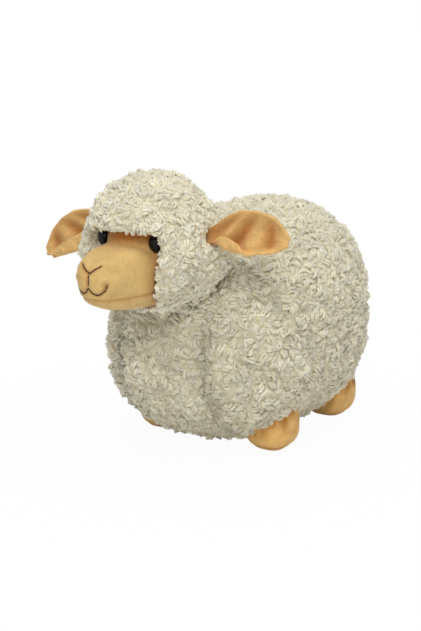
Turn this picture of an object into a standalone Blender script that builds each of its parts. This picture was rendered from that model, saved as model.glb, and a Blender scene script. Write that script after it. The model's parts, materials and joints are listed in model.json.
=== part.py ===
"""Plush sheep that stands on four short feet, built piece by piece as it is cut, sewn and stuffed.

Metres, +Z up. The sheep looks along -Y, its left side is +X, and its soles stand on Z = 0.
"""

import math

import bmesh
import bpy
from mathutils import Matrix, Vector
from mathutils.bvhtree import BVHTree

# Cloth, and the gaps between pieces that touch or turn
FLEECE_THICKNESS = 0.0080
VELOUR_THICKNESS = 0.0016
SEAM_GAP = 0.0003
TURNING_GAP = 0.0008
CUT_OVERRUN = 0.0300
MERGE_DISTANCE = 0.00001

# Torso, a full ball from chest to rump. Its middle stands aside of the origin, because the left ear
# reaches further out than the drooping right one and the origin is under the middle of the whole sheep.
MIDPLANE_X = -0.0010
TORSO_WIDTH = 0.179
TORSO_LENGTH = 0.232
TORSO_HEIGHT = 0.177
TORSO_CENTRE_Y = 0.038
BELLY_CLEARANCE = 0.0035
RUMP_SWELL = 0.020
CHEST_SWELL = 0.008
THIGH_SWELL = 0.004
GUSSET_WIDTH = 0.080
CHEST_GUSSET_HEIGHT = 0.150
BELLY_GUSSET_HEIGHT = 0.050
CHEST_SEAM_BEHIND_FRONT = 0.050

# Head, a ball that turns in the round hollow of the neck opening
HEAD_RADIUS = 0.0520
NECK_SINK = 0.0180
CROWN_SWELL = 0.0020
BROW_SWELL = 0.0070
CHEEK_SWELL = 0.0060
CROWN_SEAM_RISE = 0.0150
NECK_BALL_RADIUS = 0.020

# Muzzle and face, velour drawn over the stuffing in front of the head
MUZZLE_LENGTH = 0.0450
MUZZLE_WIDTH = 0.0506
MUZZLE_HEIGHT = 0.0510
MUZZLE_ROOT_FORWARD = 0.0362
MUZZLE_ROOT_DROP = 0.0183
LIP_SWELL = 0.0008
FACE_WIDTH = 0.0460
FACE_HEIGHT = 0.0655
FACE_DROP = 0.0158
FACE_FUNNEL_START = 0.0320
CHIN_SEAM_DROP = 0.0300

# Eyes with a shank through the velour and a washer behind it
EYE_DIAMETER = 0.0150
EYE_HEIGHT = 0.0060
EYE_SPACING = 0.0490
EYE_RISE = 0.0070
EYE_SINK = 0.0012
SHANK_DIAMETER = 0.0032
SHANK_LENGTH = 0.0100
WASHER_DIAMETER = 0.0130
WASHER_THICKNESS = 0.0012
WASHER_DEPTH = 0.0020

# Embroidery thread of the nose and the mouth
THREAD_DIAMETER = 0.0011
NOSE_WIDTH = 0.0160
NOSE_HEIGHT = 0.0044
NOSE_DROP = 0.0094
LIP_LENGTH = 0.0072
MOUTH_WIDTH = 0.0272
MOUTH_HEIGHT = 0.0068

# Ears, two layers of velour gathered at a round root
EAR_LENGTH = 0.0645
EAR_WIDTH = 0.0330
EAR_ROOT_DIAMETER = 0.0120
EAR_WAIST_DIAMETER = 0.0088
EAR_THICKNESS = 0.0048
EAR_EDGE_THICKNESS = 0.0009
EAR_CUP_DEPTH = 0.0050
EAR_ROOT_RISE = 0.0090
EAR_ROOT_BACK = 0.0020

# Feet, round velour pads
FOOT_WIDTH = 0.0430
FOOT_LENGTH = 0.0440
FOOT_HEIGHT = 0.0440
FOOT_FLAT_DEPTH = 0.0005
SOLE_HEIGHT = 0.0040
FRONT_FEET_SPREAD = 0.103
REAR_FEET_SPREAD = 0.090
FRONT_FEET_INSET = 0.085
REAR_FEET_INSET = 0.041

# Powers that fill the corners of a form: 2 is an ellipsoid
TORSO_FULLNESS = 2.4
MUZZLE_FULLNESS = 2.9
FOOT_FULLNESS = 2.7
FACE_FULLNESS = 5.0
EAR_TIP_FULLNESS = 2.4
EAR_ROW_SPACING = 1.3

# Directions in which the forms swell: across, back and up, the first one on both sides of the sheep
RUMP_WAY = (0, 0.74, 0.67)
CHEST_WAY = (0, -0.90, -0.30)
FRONT_THIGH_WAY = (0.80, -0.30, -0.50)
REAR_THIGH_WAY = (0.70, 0.60, -0.40)
CROWN_WAY = (0, 0, 1)
BROW_WAY = (0, -0.75, 0.65)
CHEEK_WAY = (0.75, -0.50, -0.35)
LIP_WAY = (0.30, -0.90, -0.10)

# Angles in degrees
NECK_PITCH = 42
NECK_HOLE_FLARE = 11
SWELL_SPREAD = 32
RUMP_SPREAD = 44
EAR_LEFT_LIFT = 14
EAR_LEFT_CURL = -22
EAR_RIGHT_LIFT = -6
EAR_RIGHT_CURL = -40
EAR_LEAN = 12
EAR_ROOT_TURNS = (15, 45, 70, 90)
EYE_TURN = 62
EYE_TILT = 10
SHARP_EDGE = 40

# Counts of facets round each form and along it
TORSO_FACETS = (28, 16)
HEAD_FACETS = (28, 16)
INNER_FACETS = (20, 12)
MUZZLE_FACETS = (20, 12)
FOOT_FACETS = (16, 10)
SOCKET_FACETS = (16, 10)
EYE_FACETS = 14
NECK_FACETS = 16
NECK_RINGS = 4
LIP_STEPS = 4
EAR_ROWS = 10
EAR_COLUMNS = 6

# Shapes as shares of the sizes above
NECK_CLEAR_START_SHARE = 0.45
NECK_CLEAR_RISE_SHARE = 3.0
CORE_TAPER_SHARE = 0.55
MUZZLE_TAPER_WIDE_SHARE = 0.23
MUZZLE_TAPER_HIGH_SHARE = 0.15
FACE_FLARE_SHARE = 0.42
FACE_FUNNEL_SHARE = 1.0
EYE_DOME_SHARES = [(0.35, 0.93), (0.64, 0.75), (0.87, 0.46), (1.0, 0.12)]
EYE_FOOT_SHARE = 0.94
NOSE_SHARES = [(-1.0, 1.0), (-0.62, 0.62), (-0.28, 0.22), (0.0, 0.0), (0.28, 0.22), (0.62, 0.62), (1.0, 1.0)]
MOUTH_SHARES = [(-1.0, 1.0), (-0.9, 0.46), (-0.66, 0.08), (-0.42, 0.0), (-0.18, 0.24), (0.0, 0.65),
                (0.18, 0.24), (0.42, 0.0), (0.66, 0.08), (0.9, 0.46), (1.0, 1.0)]
EAR_WIDEST_SHARE = 0.58
EAR_SLIM_SHARE = 0.28
EAR_END_SHARE = 0.985

SIDES = {"left": 1, "right": -1}
CREAM = (0.86, 0.82, 0.72)
APRICOT = (0.83, 0.55, 0.27)
FILLING = (0.93, 0.93, 0.91)
BLACK = (0.02, 0.02, 0.02)
BROWN = (0.10, 0.05, 0.03)


# Forms: points on the outside of the torso, head, muzzle and feet


def full_ball(direction, half_sizes, fullness):
    """Point of a ball with the given half sizes. A fullness over 2 fills its corners."""
    reach = sum(abs(part) ** fullness for part in direction) ** (-1 / fullness)
    return Vector([half * part * reach for half, part in zip(half_sizes, direction)])


def swell(direction, way, spread=SWELL_SPREAD):
    """Share, 1 at the middle, by which a swelling lifts this direction."""
    angle = math.degrees(direction.angle(Vector(way)))
    return math.exp(-((angle / spread) ** 2))


def paired_swell(direction, way):
    """The same swelling on the left and on the right side."""
    across, back, up = way
    return sum(swell(direction, (side * across, back, up)) for side in SIDES.values())


def torso_centre():
    """Middle of the torso."""
    return Vector((MIDPLANE_X, TORSO_CENTRE_Y, BELLY_CLEARANCE + TORSO_HEIGHT / 2))


def torso_point(direction, inset=0):
    """Point of the torso, or of a form inside it by the inset."""
    half = (TORSO_WIDTH / 2 - inset, TORSO_LENGTH / 2 - inset, TORSO_HEIGHT / 2 - inset)
    lift = RUMP_SWELL * swell(direction, RUMP_WAY, RUMP_SPREAD)
    lift += CHEST_SWELL * swell(direction, CHEST_WAY)
    lift += THIGH_SWELL * paired_swell(direction, FRONT_THIGH_WAY)
    lift += THIGH_SWELL * paired_swell(direction, REAR_THIGH_WAY)
    return torso_centre() + full_ball(direction, half, TORSO_FULLNESS) + direction * lift


def neck_direction():
    """From the torso up to the head."""
    pitch = math.radians(NECK_PITCH)
    return Vector((0, -math.cos(pitch), math.sin(pitch)))


def head_centre():
    """Middle of the head ball, which is also the pivot of the neck."""
    return torso_point(neck_direction()) + neck_direction() * (HEAD_RADIUS - NECK_SINK)


def clear_of_neck(direction):
    """Share, 0 at the neck and 1 away from it, that keeps swellings out of the hollow of the torso."""
    return min(1, max(0, NECK_CLEAR_START_SHARE + direction.dot(neck_direction()) * NECK_CLEAR_RISE_SHARE))


def head_point(direction, inset=0):
    """Point of the head ball, or of a form inside it by the inset."""
    lift = CROWN_SWELL * swell(direction, CROWN_WAY)
    lift += BROW_SWELL * swell(direction, BROW_WAY)
    lift += CHEEK_SWELL * paired_swell(direction, CHEEK_WAY)
    return head_centre() + direction * (HEAD_RADIUS + lift * clear_of_neck(direction) - inset)


def core_point(direction, inset):
    """Point of the form under the head's fleece, which narrows forwards to leave room for the eyes."""
    point = head_point(direction, inset)
    point.x -= (point.x - MIDPLANE_X) * CORE_TAPER_SHARE * max(0, -direction.y)
    return point


def muzzle_point(direction, inset=0):
    """Point of the muzzle, which narrows towards the nose."""
    half = (MUZZLE_WIDTH / 2 - inset, MUZZLE_LENGTH - inset, MUZZLE_HEIGHT / 2 - inset)
    point = full_ball(direction, half, MUZZLE_FULLNESS)
    forward = -point.y / half[1]
    point.x *= 1 - MUZZLE_TAPER_WIDE_SHARE * forward
    point.z *= 1 - MUZZLE_TAPER_HIGH_SHARE * forward
    point += direction * LIP_SWELL * paired_swell(direction, LIP_WAY)
    return head_centre() + Vector((0, -MUZZLE_ROOT_FORWARD, -MUZZLE_ROOT_DROP)) + point


def foot_point(direction, centre, inset=0):
    """Point of a foot round its centre."""
    half = (FOOT_WIDTH / 2 - inset, FOOT_LENGTH / 2 - inset, FOOT_HEIGHT / 2 - inset)
    return centre + full_ball(direction, half, FOOT_FULLNESS)


def ear_root(side):
    """Middle of the ear's round root, on the outside of the head ball."""
    level = Vector((0, EAR_ROOT_BACK, EAR_ROOT_RISE))
    outward = math.sqrt(HEAD_RADIUS ** 2 - level.length_squared)
    return head_centre() + level + Vector((side * outward, 0, 0))


# Tools: making, cutting and dressing solids


def add_object(name, data):
    """Object that holds the data, linked to the scene."""
    made = bpy.data.objects.new(name, data)
    bpy.context.scene.collection.objects.link(made)
    return made


def mesh_object(name, mesh):
    """Object made from a bmesh, which is freed, with its faces turned outwards."""
    bmesh.ops.recalc_face_normals(mesh, faces=mesh.faces)
    data = bpy.data.meshes.new(name)
    mesh.to_mesh(data)
    mesh.free()
    return add_object(name, data)


def ball_object(facets, place, pole="Y"):
    """Closed ball whose unit directions are moved by the function place.

    Its faces are halved along the same diagonals each time, so that a form inside another stays inside it.
    """
    segments, rings = facets
    mesh = bmesh.new()
    turn = Matrix.Rotation(math.radians(90), 4, "X") if pole == "Y" else Matrix.Identity(4)
    bmesh.ops.create_uvsphere(mesh, u_segments=segments, v_segments=rings, radius=1, matrix=turn)
    for vertex in mesh.verts:
        vertex.co = place(vertex.co.normalized())
    bmesh.ops.triangulate(mesh, faces=mesh.faces, quad_method="FIXED")
    return mesh_object("form", mesh)


def box_object(low, high):
    """Box between its lowest and its highest corner."""
    size = Vector(high) - Vector(low)
    place = Matrix.Translation(Vector(low) + size / 2) @ Matrix.Diagonal((*size, 1))
    mesh = bmesh.new()
    bmesh.ops.create_cube(mesh, size=1, matrix=place)
    return mesh_object("region", mesh)


def turned_object(profile, facets, place):
    """Closed solid turned from (radius, height) points that start and end on the axis."""
    mesh = bmesh.new()
    rings = []
    for radius, height in profile:
        if radius == 0:
            rings.append([mesh.verts.new((0, 0, height))])
            continue
        turns = [2 * math.pi * step / facets for step in range(facets)]
        rings.append([mesh.verts.new((radius * math.cos(a), radius * math.sin(a), height)) for a in turns])
    for upper, lower in zip(rings, rings[1:]):
        for step in range(facets):
            following = (step + 1) % facets
            corners = [upper[step % len(upper)], upper[following % len(upper)],
                       lower[following % len(lower)], lower[step % len(lower)]]
            mesh.faces.new(list(dict.fromkeys(corners)))
    bmesh.ops.transform(mesh, matrix=place, verts=mesh.verts)
    return mesh_object("turned", mesh)


def pointing(place, direction):
    """Matrix that puts the local +Z axis on a direction at a place."""
    return Matrix.Translation(place) @ direction.to_track_quat("Z", "X").to_matrix().to_4x4()


def combine(body, tool, operation="DIFFERENCE", keep_tool=False):
    """Cuts, joins or meets a body with a tool and gives back the body."""
    step = body.modifiers.new(operation, "BOOLEAN")
    step.operation = operation
    step.solver = "EXACT"
    step.object = tool
    graph = bpy.context.evaluated_depsgraph_get()
    result = bpy.data.meshes.new_from_object(body.evaluated_get(graph))
    body.modifiers.clear()
    body.data = result
    mesh = bmesh.new()
    mesh.from_mesh(result)
    bmesh.ops.remove_doubles(mesh, verts=mesh.verts, dist=MERGE_DISTANCE)
    bmesh.ops.dissolve_degenerate(mesh, edges=mesh.edges, dist=MERGE_DISTANCE)
    mesh.to_mesh(result)
    mesh.free()
    if not keep_tool:
        bpy.data.objects.remove(tool)
    return body


def copy_of(body):
    """Copy with a mesh of its own."""
    return add_object("copy", body.data.copy())


def finish(body, name, colour, roughness, pivot=None):
    """Names a piece, gives it its material and moves a mesh's origin to the pivot of its joints."""
    body.name = name
    body.data.name = name
    material = bpy.data.materials.new(name)
    material.use_nodes = True
    shader = material.node_tree.nodes["Principled BSDF"]
    shader.inputs["Base Color"].default_value = (*colour, 1)
    shader.inputs["Roughness"].default_value = roughness
    shader.inputs["Metallic"].default_value = 0
    body.data.materials.clear()
    body.data.materials.append(material)
    if pivot is not None and body.type == "MESH":
        body.data.transform(Matrix.Translation(-pivot))
        body.location = pivot
    return body


# Torso


def torso_form(inset, facets=TORSO_FACETS):
    """Solid torso, smaller all round by the inset."""
    return ball_object(facets, lambda direction: torso_point(direction, inset))


def head_hollow():
    """Ball of the room in which the head turns."""
    radius = HEAD_RADIUS + TURNING_GAP
    return ball_object(HEAD_FACETS, lambda direction: head_centre() + direction * radius)


def gusset_regions(gap):
    """Boxes of the chest and the belly gusset, each smaller all round by the gap."""
    left = MIDPLANE_X + GUSSET_WIDTH / 2 - gap
    right = MIDPLANE_X - GUSSET_WIDTH / 2 + gap
    front = TORSO_CENTRE_Y - TORSO_LENGTH / 2
    back = TORSO_CENTRE_Y + TORSO_LENGTH / 2
    seam = front + CHEST_SEAM_BEHIND_FRONT
    chest_low = (right, front - CUT_OVERRUN, -CUT_OVERRUN)
    chest_high = (left, seam - gap, CHEST_GUSSET_HEIGHT - gap)
    belly_low = (right, seam + gap, -CUT_OVERRUN)
    belly_high = (left, back + CUT_OVERRUN, BELLY_GUSSET_HEIGHT - gap)
    return box_object(chest_low, chest_high), box_object(belly_low, belly_high)


def build_side_panel(shell, side_name, side):
    """Half of the fleece shell beside the two gussets."""
    panel = copy_of(shell)
    for region in gusset_regions(-SEAM_GAP / 2):
        combine(panel, region)
    far = MIDPLANE_X + side * (TORSO_WIDTH / 2 + CUT_OVERRUN)
    near = MIDPLANE_X + side * SEAM_GAP / 2
    low = (min(near, far), TORSO_CENTRE_Y - TORSO_LENGTH, -CUT_OVERRUN)
    high = (max(near, far), TORSO_CENTRE_Y + TORSO_LENGTH, BELLY_CLEARANCE + TORSO_HEIGHT + CUT_OVERRUN)
    combine(panel, box_object(low, high), "INTERSECT")
    finish(panel, f"side_panel_{side_name}", CREAM, 0.95)


def build_torso():
    """Stuffing in a fleece shell that is sewn from two gussets and two side panels."""
    stuffing = combine(torso_form(FLEECE_THICKNESS + SEAM_GAP, INNER_FACETS), head_hollow())
    finish(stuffing, "torso_stuffing", FILLING, 0.9)
    shell = combine(combine(torso_form(0), torso_form(FLEECE_THICKNESS, INNER_FACETS)), head_hollow())
    for name, region in zip(("chest_panel", "belly_panel"), gusset_regions(SEAM_GAP / 2)):
        finish(combine(copy_of(shell), region, "INTERSECT"), name, CREAM, 0.95)
    for side_name, side in SIDES.items():
        build_side_panel(shell, side_name, side)
    bpy.data.objects.remove(shell)


# Feet


def above(height, centre):
    """Box of all that lies over a height round a foot."""
    reach = Vector((FOOT_WIDTH, FOOT_LENGTH, 0))
    low = centre - reach
    high = centre + reach
    return box_object((low.x, low.y, height), (high.x, high.y, height + FOOT_HEIGHT * 2))


def foot_form(centre, inset):
    """Solid foot with a flat underside, smaller all round by the inset."""
    form = ball_object(FOOT_FACETS, lambda direction: foot_point(direction, centre, inset), "Z")
    return combine(form, above(inset, centre), "INTERSECT")


def build_foot(name, centre):
    """Stuffing in a velour cover with a sole, cut to the torso that it is sewn to."""
    torso_room = torso_form(-SEAM_GAP)
    stuffing = combine(foot_form(centre, VELOUR_THICKNESS + SEAM_GAP), torso_room, keep_tool=True)
    finish(stuffing, f"{name}_stuffing", FILLING, 0.9)
    shell = combine(foot_form(centre, 0), foot_form(centre, VELOUR_THICKNESS))
    combine(shell, torso_room)
    sole = copy_of(shell)
    combine(sole, above(SOLE_HEIGHT - SEAM_GAP / 2, centre))
    finish(sole, f"{name}_sole", APRICOT, 0.85)
    combine(shell, above(SOLE_HEIGHT + SEAM_GAP / 2, centre), "INTERSECT")
    finish(shell, f"{name}_cover", APRICOT, 0.85)


def foot_centres():
    """Name and middle of each foot."""
    height = FOOT_HEIGHT / 2 - FOOT_FLAT_DEPTH
    front = TORSO_CENTRE_Y - TORSO_LENGTH / 2 + FRONT_FEET_INSET
    rear = TORSO_CENTRE_Y + TORSO_LENGTH / 2 - REAR_FEET_INSET
    rows = {"front": (FRONT_FEET_SPREAD, front), "rear": (REAR_FEET_SPREAD, rear)}
    centres = {}
    for row_name, (spread, along) in rows.items():
        for side_name, side in SIDES.items():
            place = Vector((MIDPLANE_X + side * spread / 2, along, height))
            centres[f"{row_name}_{side_name}_foot"] = place
    return centres


# Neck and head


def neck_solid(radius, end):
    """Half ball round the pivot that carries on towards the torso to the points of its end."""
    turns = [math.radians(90 * step / NECK_RINGS) for step in range(1, NECK_RINGS + 1)]
    ball = [(radius * math.sin(turn), -radius * math.cos(turn)) for turn in turns]
    place = pointing(head_centre(), -neck_direction())
    return turned_object([(0, -radius)] + ball + end, NECK_FACETS, place)


def build_neck():
    """Neck of stuffing that ends in a round cap against the torso."""
    radii = (NECK_BALL_RADIUS, NECK_BALL_RADIUS / 2)
    cap = [(radius, math.sqrt(HEAD_RADIUS ** 2 - radius ** 2)) for radius in radii]
    neck = neck_solid(NECK_BALL_RADIUS, cap + [(0, HEAD_RADIUS)])
    finish(neck, "neck_stuffing", FILLING, 0.9, head_centre())


def neck_hole():
    """Hole for the neck, which flares so that the head can nod."""
    radius = NECK_BALL_RADIUS + TURNING_GAP
    reach = HEAD_RADIUS + CUT_OVERRUN
    flared = radius + reach * math.tan(math.radians(NECK_HOLE_FLARE))
    return neck_solid(radius, [(flared, reach), (0, reach)])


def head_core(level):
    """Form under the fleece joined with the muzzle, at a level under the face of the velour."""
    ball = ball_object(INNER_FACETS, lambda d: core_point(d, FLEECE_THICKNESS - VELOUR_THICKNESS + level))
    muzzle = ball_object(MUZZLE_FACETS, lambda d: muzzle_point(d, level))
    return combine(ball, muzzle, "UNION")


def face_region(gap):
    """Opening in the fleece for the face, smaller all round by the gap, wide at the eyes and forwards."""
    reach = MUZZLE_ROOT_FORWARD + MUZZLE_LENGTH + CUT_OVERRUN
    profile = [(0, 0), (1, 0), (1, FACE_FUNNEL_START), (1, reach), (0, reach)]
    region = turned_object(profile, HEAD_FACETS[0], Matrix.Identity(4))
    for vertex in region.data.vertices:
        across, high, along = vertex.co
        half_width = FACE_WIDTH / 2 - gap + FACE_FUNNEL_SHARE * max(0, along - FACE_FUNNEL_START)
        if across or high:
            fullness = FACE_FULLNESS if high > 0 else MUZZLE_FULLNESS
            full = (abs(across) ** fullness + abs(high) ** fullness) ** (-1 / fullness)
            across *= full * (1 + FACE_FLARE_SHARE * max(0, high))
            high *= full
        place = Vector((across * half_width, -along, high * (FACE_HEIGHT / 2 - gap) - FACE_DROP))
        vertex.co = head_centre() + place
    return region


def face_tree(form):
    """Search tree of the faces of a form."""
    mesh = bmesh.new()
    mesh.from_mesh(form.data)
    tree = BVHTree.FromBMesh(mesh)
    mesh.free()
    return tree


def seat_on_face(tree, across, height):
    """Point and outward normal of the velour, straight behind a place in front of the face."""
    start = head_centre() + Vector((across, -HEAD_RADIUS - MUZZLE_LENGTH - CUT_OVERRUN, height))
    place, normal, _, _ = tree.ray_cast(start, Vector((0, 1, 0)))
    return place, normal


def eye_profile(gap):
    """Domed eye with its shank, larger all round by the gap."""
    radius = EYE_DIAMETER / 2
    top = [(0, EYE_HEIGHT + gap)]
    dome = [(wide * radius + gap, high * EYE_HEIGHT + gap) for wide, high in EYE_DOME_SHARES]
    foot = (EYE_FOOT_SHARE * radius + gap, -gap)
    shank = SHANK_DIAMETER / 2 + gap
    return top + dome + [foot, (shank, -gap), (shank, -SHANK_LENGTH - gap), (0, -SHANK_LENGTH - gap)]


def rod_object(radius, end, place):
    """Round cutter from in front of the eye down to its end."""
    rod = [(0, CUT_OVERRUN), (radius, CUT_OVERRUN), (radius, end), (0, end)]
    return turned_object(rod, EYE_FACETS, place)


def washer_profile(gap, hole):
    """Washer behind the velour, deep enough for its rim to clear the velour's curve."""
    curve = HEAD_RADIUS - FLEECE_THICKNESS
    hang = curve - math.sqrt(curve ** 2 - (WASHER_DIAMETER / 2) ** 2)
    top = -VELOUR_THICKNESS - SEAM_GAP * 2 - hang - WASHER_DEPTH + gap
    bottom = top - WASHER_THICKNESS - gap * 2
    wide = WASHER_DIAMETER / 2 + gap
    return [(hole, top), (wide, top), (wide, bottom), (hole, bottom)]


def build_washer(place, name, pivot):
    """Washer pressed onto the eye's shank."""
    hole = SHANK_DIAMETER / 2 + SEAM_GAP
    profile = washer_profile(0, hole)
    washer = turned_object([(0, profile[0][1])] + profile[1:3] + [(0, profile[2][1])], EYE_FACETS, place)
    finish(combine(washer, rod_object(hole, -CUT_OVERRUN, place)), name, FILLING, 0.5, pivot)


def eye_places(tree):
    """Matrix of each eye, seated on the velour beside the bridge of the nose and facing sideways."""
    turn = math.radians(EYE_TURN)
    tilt = math.radians(EYE_TILT)
    places = {}
    for side_name, side in SIDES.items():
        seat, _ = seat_on_face(tree, side * EYE_SPACING / 2, EYE_RISE)
        level = Vector((side * math.sin(turn), -math.cos(turn), 0)) * math.cos(tilt)
        outward = level + Vector((0, 0, math.sin(tilt)))
        places[side_name] = pointing(seat - outward * EYE_SINK, outward)
    return places


def thread_object(name, tree, outline, pivot):
    """Round thread laid on the velour along (across, height) points."""
    data = bpy.data.curves.new(name, "CURVE")
    data.dimensions = "3D"
    data.bevel_depth = THREAD_DIAMETER / 2
    data.bevel_resolution = 1
    data.use_fill_caps = True
    spline = data.splines.new("POLY")
    spline.points.add(len(outline) - 1)
    for point, (across, height) in zip(spline.points, outline):
        place, normal = seat_on_face(tree, across, height)
        point.co = (*(place + normal * (THREAD_DIAMETER / 2 + SEAM_GAP) - pivot), 1)
    thread = add_object(name, data)
    thread.location = pivot
    finish(thread, name, BROWN, 0.7)


def smooth_outline(points):
    """Outline with one more point between each two, on the smooth curve through them all."""
    ends = [points[0]] + points + [points[-1]]
    smooth = []
    for before, start, end, after in zip(ends, ends[1:], ends[2:], ends[3:]):
        middle = [(9 * (b + c) - a - d) / 16 for a, b, c, d in zip(before, start, end, after)]
        smooth += [start, tuple(middle)]
    return smooth + [points[-1]]


def build_threads(tree, pivot):
    """Nose, lip line and mouth, one below the other."""
    nose = [(NOSE_WIDTH / 2 * across, NOSE_HEIGHT * high - NOSE_DROP) for across, high in NOSE_SHARES]
    thread_object("nose_thread", tree, smooth_outline(nose), pivot)
    spare = THREAD_DIAMETER + SEAM_GAP * 2
    lip_top = -NOSE_DROP - spare
    lip = [(0, lip_top - LIP_LENGTH * step / LIP_STEPS) for step in range(LIP_STEPS + 1)]
    thread_object("lip_thread", tree, lip, pivot)
    mouth_foot = lip_top - LIP_LENGTH - spare - MOUTH_HEIGHT * MOUTH_SHARES[len(MOUTH_SHARES) // 2][1]
    mouth = [(MOUTH_WIDTH / 2 * across, mouth_foot + MOUTH_HEIGHT * high) for across, high in MOUTH_SHARES]
    thread_object("mouth_thread", tree, smooth_outline(mouth), pivot)


def head_slice(low_z, high_z):
    """Box round the whole head between two heights."""
    reach = HEAD_RADIUS + MUZZLE_LENGTH + CUT_OVERRUN
    across, along, _ = head_centre()
    return box_object((across - reach, along - reach, low_z), (across + reach, along + reach, high_z))


def build_face(eyes, pivot):
    """Velour face with a separate chin below the seam under the mouth."""
    chin_level = pivot.z - CHIN_SEAM_DROP
    shell = combine(head_core(0), head_core(VELOUR_THICKNESS))
    combine(shell, face_region(SEAM_GAP), "INTERSECT")
    for place in eyes.values():
        combine(shell, turned_object(eye_profile(SEAM_GAP), EYE_FACETS, place))
    chin = copy_of(shell)
    combine(chin, head_slice(chin_level - HEAD_RADIUS * 2, chin_level - SEAM_GAP / 2), "INTERSECT")
    finish(chin, "chin_panel", APRICOT, 0.85, pivot)
    combine(shell, head_slice(chin_level + SEAM_GAP / 2, chin_level + HEAD_RADIUS * 2), "INTERSECT")
    finish(shell, "face_panel", APRICOT, 0.85, pivot)


def fleece_shell(eyes):
    """Fleece of the whole head with its openings for the face, the neck, the eyes and the ears."""
    shell = ball_object(HEAD_FACETS, head_point)
    combine(shell, ball_object(INNER_FACETS, lambda d: core_point(d, FLEECE_THICKNESS)))
    combine(shell, ball_object(MUZZLE_FACETS, lambda d: muzzle_point(d, -SEAM_GAP)))
    combine(shell, face_region(0))
    combine(shell, neck_hole())
    for place in eyes.values():
        combine(shell, turned_object(eye_profile(SEAM_GAP), EYE_FACETS, place))
    socket = EAR_ROOT_DIAMETER / 2 + TURNING_GAP
    for side in SIDES.values():
        combine(shell, ball_object(SOCKET_FACETS, lambda d: ear_root(side) + d * socket))
    return shell


def build_fleece(eyes, pivot):
    """Crown over two cheeks that meet in a seam behind the head."""
    shell = fleece_shell(eyes)
    seam = pivot.z + CROWN_SEAM_RISE
    reach = HEAD_RADIUS * 2
    low = Vector((pivot.x - reach, pivot.y - reach, seam + SEAM_GAP / 2))
    crown = combine(copy_of(shell), box_object(low, low + Vector((reach, reach, reach)) * 2), "INTERSECT")
    finish(crown, "crown_panel", CREAM, 0.95, pivot)
    for side_name, side in SIDES.items():
        near = pivot.x + side * SEAM_GAP / 2
        far = pivot.x + side * reach
        low = (min(near, far), pivot.y - reach, pivot.z - reach)
        high = (max(near, far), pivot.y + reach, seam - SEAM_GAP / 2)
        cheek = combine(copy_of(shell), box_object(low, high), "INTERSECT")
        finish(cheek, f"cheek_panel_{side_name}", CREAM, 0.95, pivot)
    bpy.data.objects.remove(shell)


def build_head_stuffing(eyes, pivot):
    """Stuffing with room for the neck, the washers and the eyes."""
    stuffing = combine(head_core(VELOUR_THICKNESS + SEAM_GAP), neck_hole())
    rim, washer_end = washer_profile(SEAM_GAP, 0)[2]
    for place in eyes.values():
        combine(stuffing, rod_object(rim, washer_end, place))
        combine(stuffing, turned_object(eye_profile(SEAM_GAP), EYE_FACETS, place))
    finish(stuffing, "head_stuffing", FILLING, 0.9, pivot)


def build_head():
    """Head with its stuffing, velour face, fleece, eyes and embroidery."""
    pivot = head_centre()
    surface = head_core(0)
    tree = face_tree(surface)
    bpy.data.objects.remove(surface)
    eyes = eye_places(tree)
    build_head_stuffing(eyes, pivot)
    build_face(eyes, pivot)
    build_fleece(eyes, pivot)
    for side_name, place in eyes.items():
        finish(turned_object(eye_profile(0), EYE_FACETS, place), f"eye_{side_name}", BLACK, 0.08, pivot)
        build_washer(place, f"eye_washer_{side_name}", pivot)
    build_threads(tree, pivot)


# Ears


def ear_line(side, share):
    """Place and direction of the ear's middle line at a share of its length."""
    lift, curl = (EAR_LEFT_LIFT, EAR_LEFT_CURL) if side > 0 else (EAR_RIGHT_LIFT, EAR_RIGHT_CURL)
    start = math.radians(lift)
    bend = math.radians(curl)
    mean = start + bend * share / 2
    angle = start + bend * share
    along = Vector((side * math.cos(mean), 0, math.sin(mean))) * EAR_LENGTH * share
    return ear_root(side) + along, Vector((side * math.cos(angle), 0, math.sin(angle)))


def ear_waist_share():
    """Share of the length at which the round root meets the waist behind it."""
    return math.sqrt((EAR_ROOT_DIAMETER / 2) ** 2 - (EAR_WAIST_DIAMETER / 2) ** 2) / EAR_LENGTH


def eased(share):
    """Smooth rise from 0 to 1."""
    held = min(1, max(0, share))
    return held * held * (3 - 2 * held)


def ear_half_width(share):
    """Half width of the ear: a round root, a waist, widest past the middle and a rounded tip."""
    waist = ear_waist_share()
    if share < waist:
        return math.sqrt(max(0, (EAR_ROOT_DIAMETER / 2) ** 2 - (share * EAR_LENGTH) ** 2))
    start = EAR_WAIST_DIAMETER / 2
    wide = start + (EAR_WIDTH / 2 - start) * eased((share - waist) / (EAR_WIDEST_SHARE - waist))
    past = max(0, (share - EAR_WIDEST_SHARE) / (1 - EAR_WIDEST_SHARE))
    return wide * math.sqrt(max(0, 1 - past ** EAR_TIP_FULLNESS))


def ear_half_thickness(share, across):
    """Thickness of one layer at a share of the length and a share of the half width."""
    waist = ear_waist_share()
    if share < waist:
        rounded = ear_half_width(share)
    else:
        thinning = eased((share - waist) / (EAR_SLIM_SHARE - waist))
        rounded = (EAR_WAIST_DIAMETER + (EAR_THICKNESS - EAR_WAIST_DIAMETER) * thinning) / 2
    return EAR_EDGE_THICKNESS + (rounded - EAR_EDGE_THICKNESS) * math.sqrt(max(0, 1 - across ** 2))


def ear_shares():
    """Stations along the ear, closer together round the root and at the tip."""
    root = EAR_ROOT_DIAMETER / 2 / EAR_LENGTH
    before = [-root * math.cos(math.radians(turn)) for turn in EAR_ROOT_TURNS]
    waist = ear_waist_share()
    steps = [(1 - step / EAR_ROWS) ** EAR_ROW_SPACING for step in range(EAR_ROWS + 1)]
    return before + [EAR_END_SHARE + (waist - EAR_END_SHARE) * step for step in steps]


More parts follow.
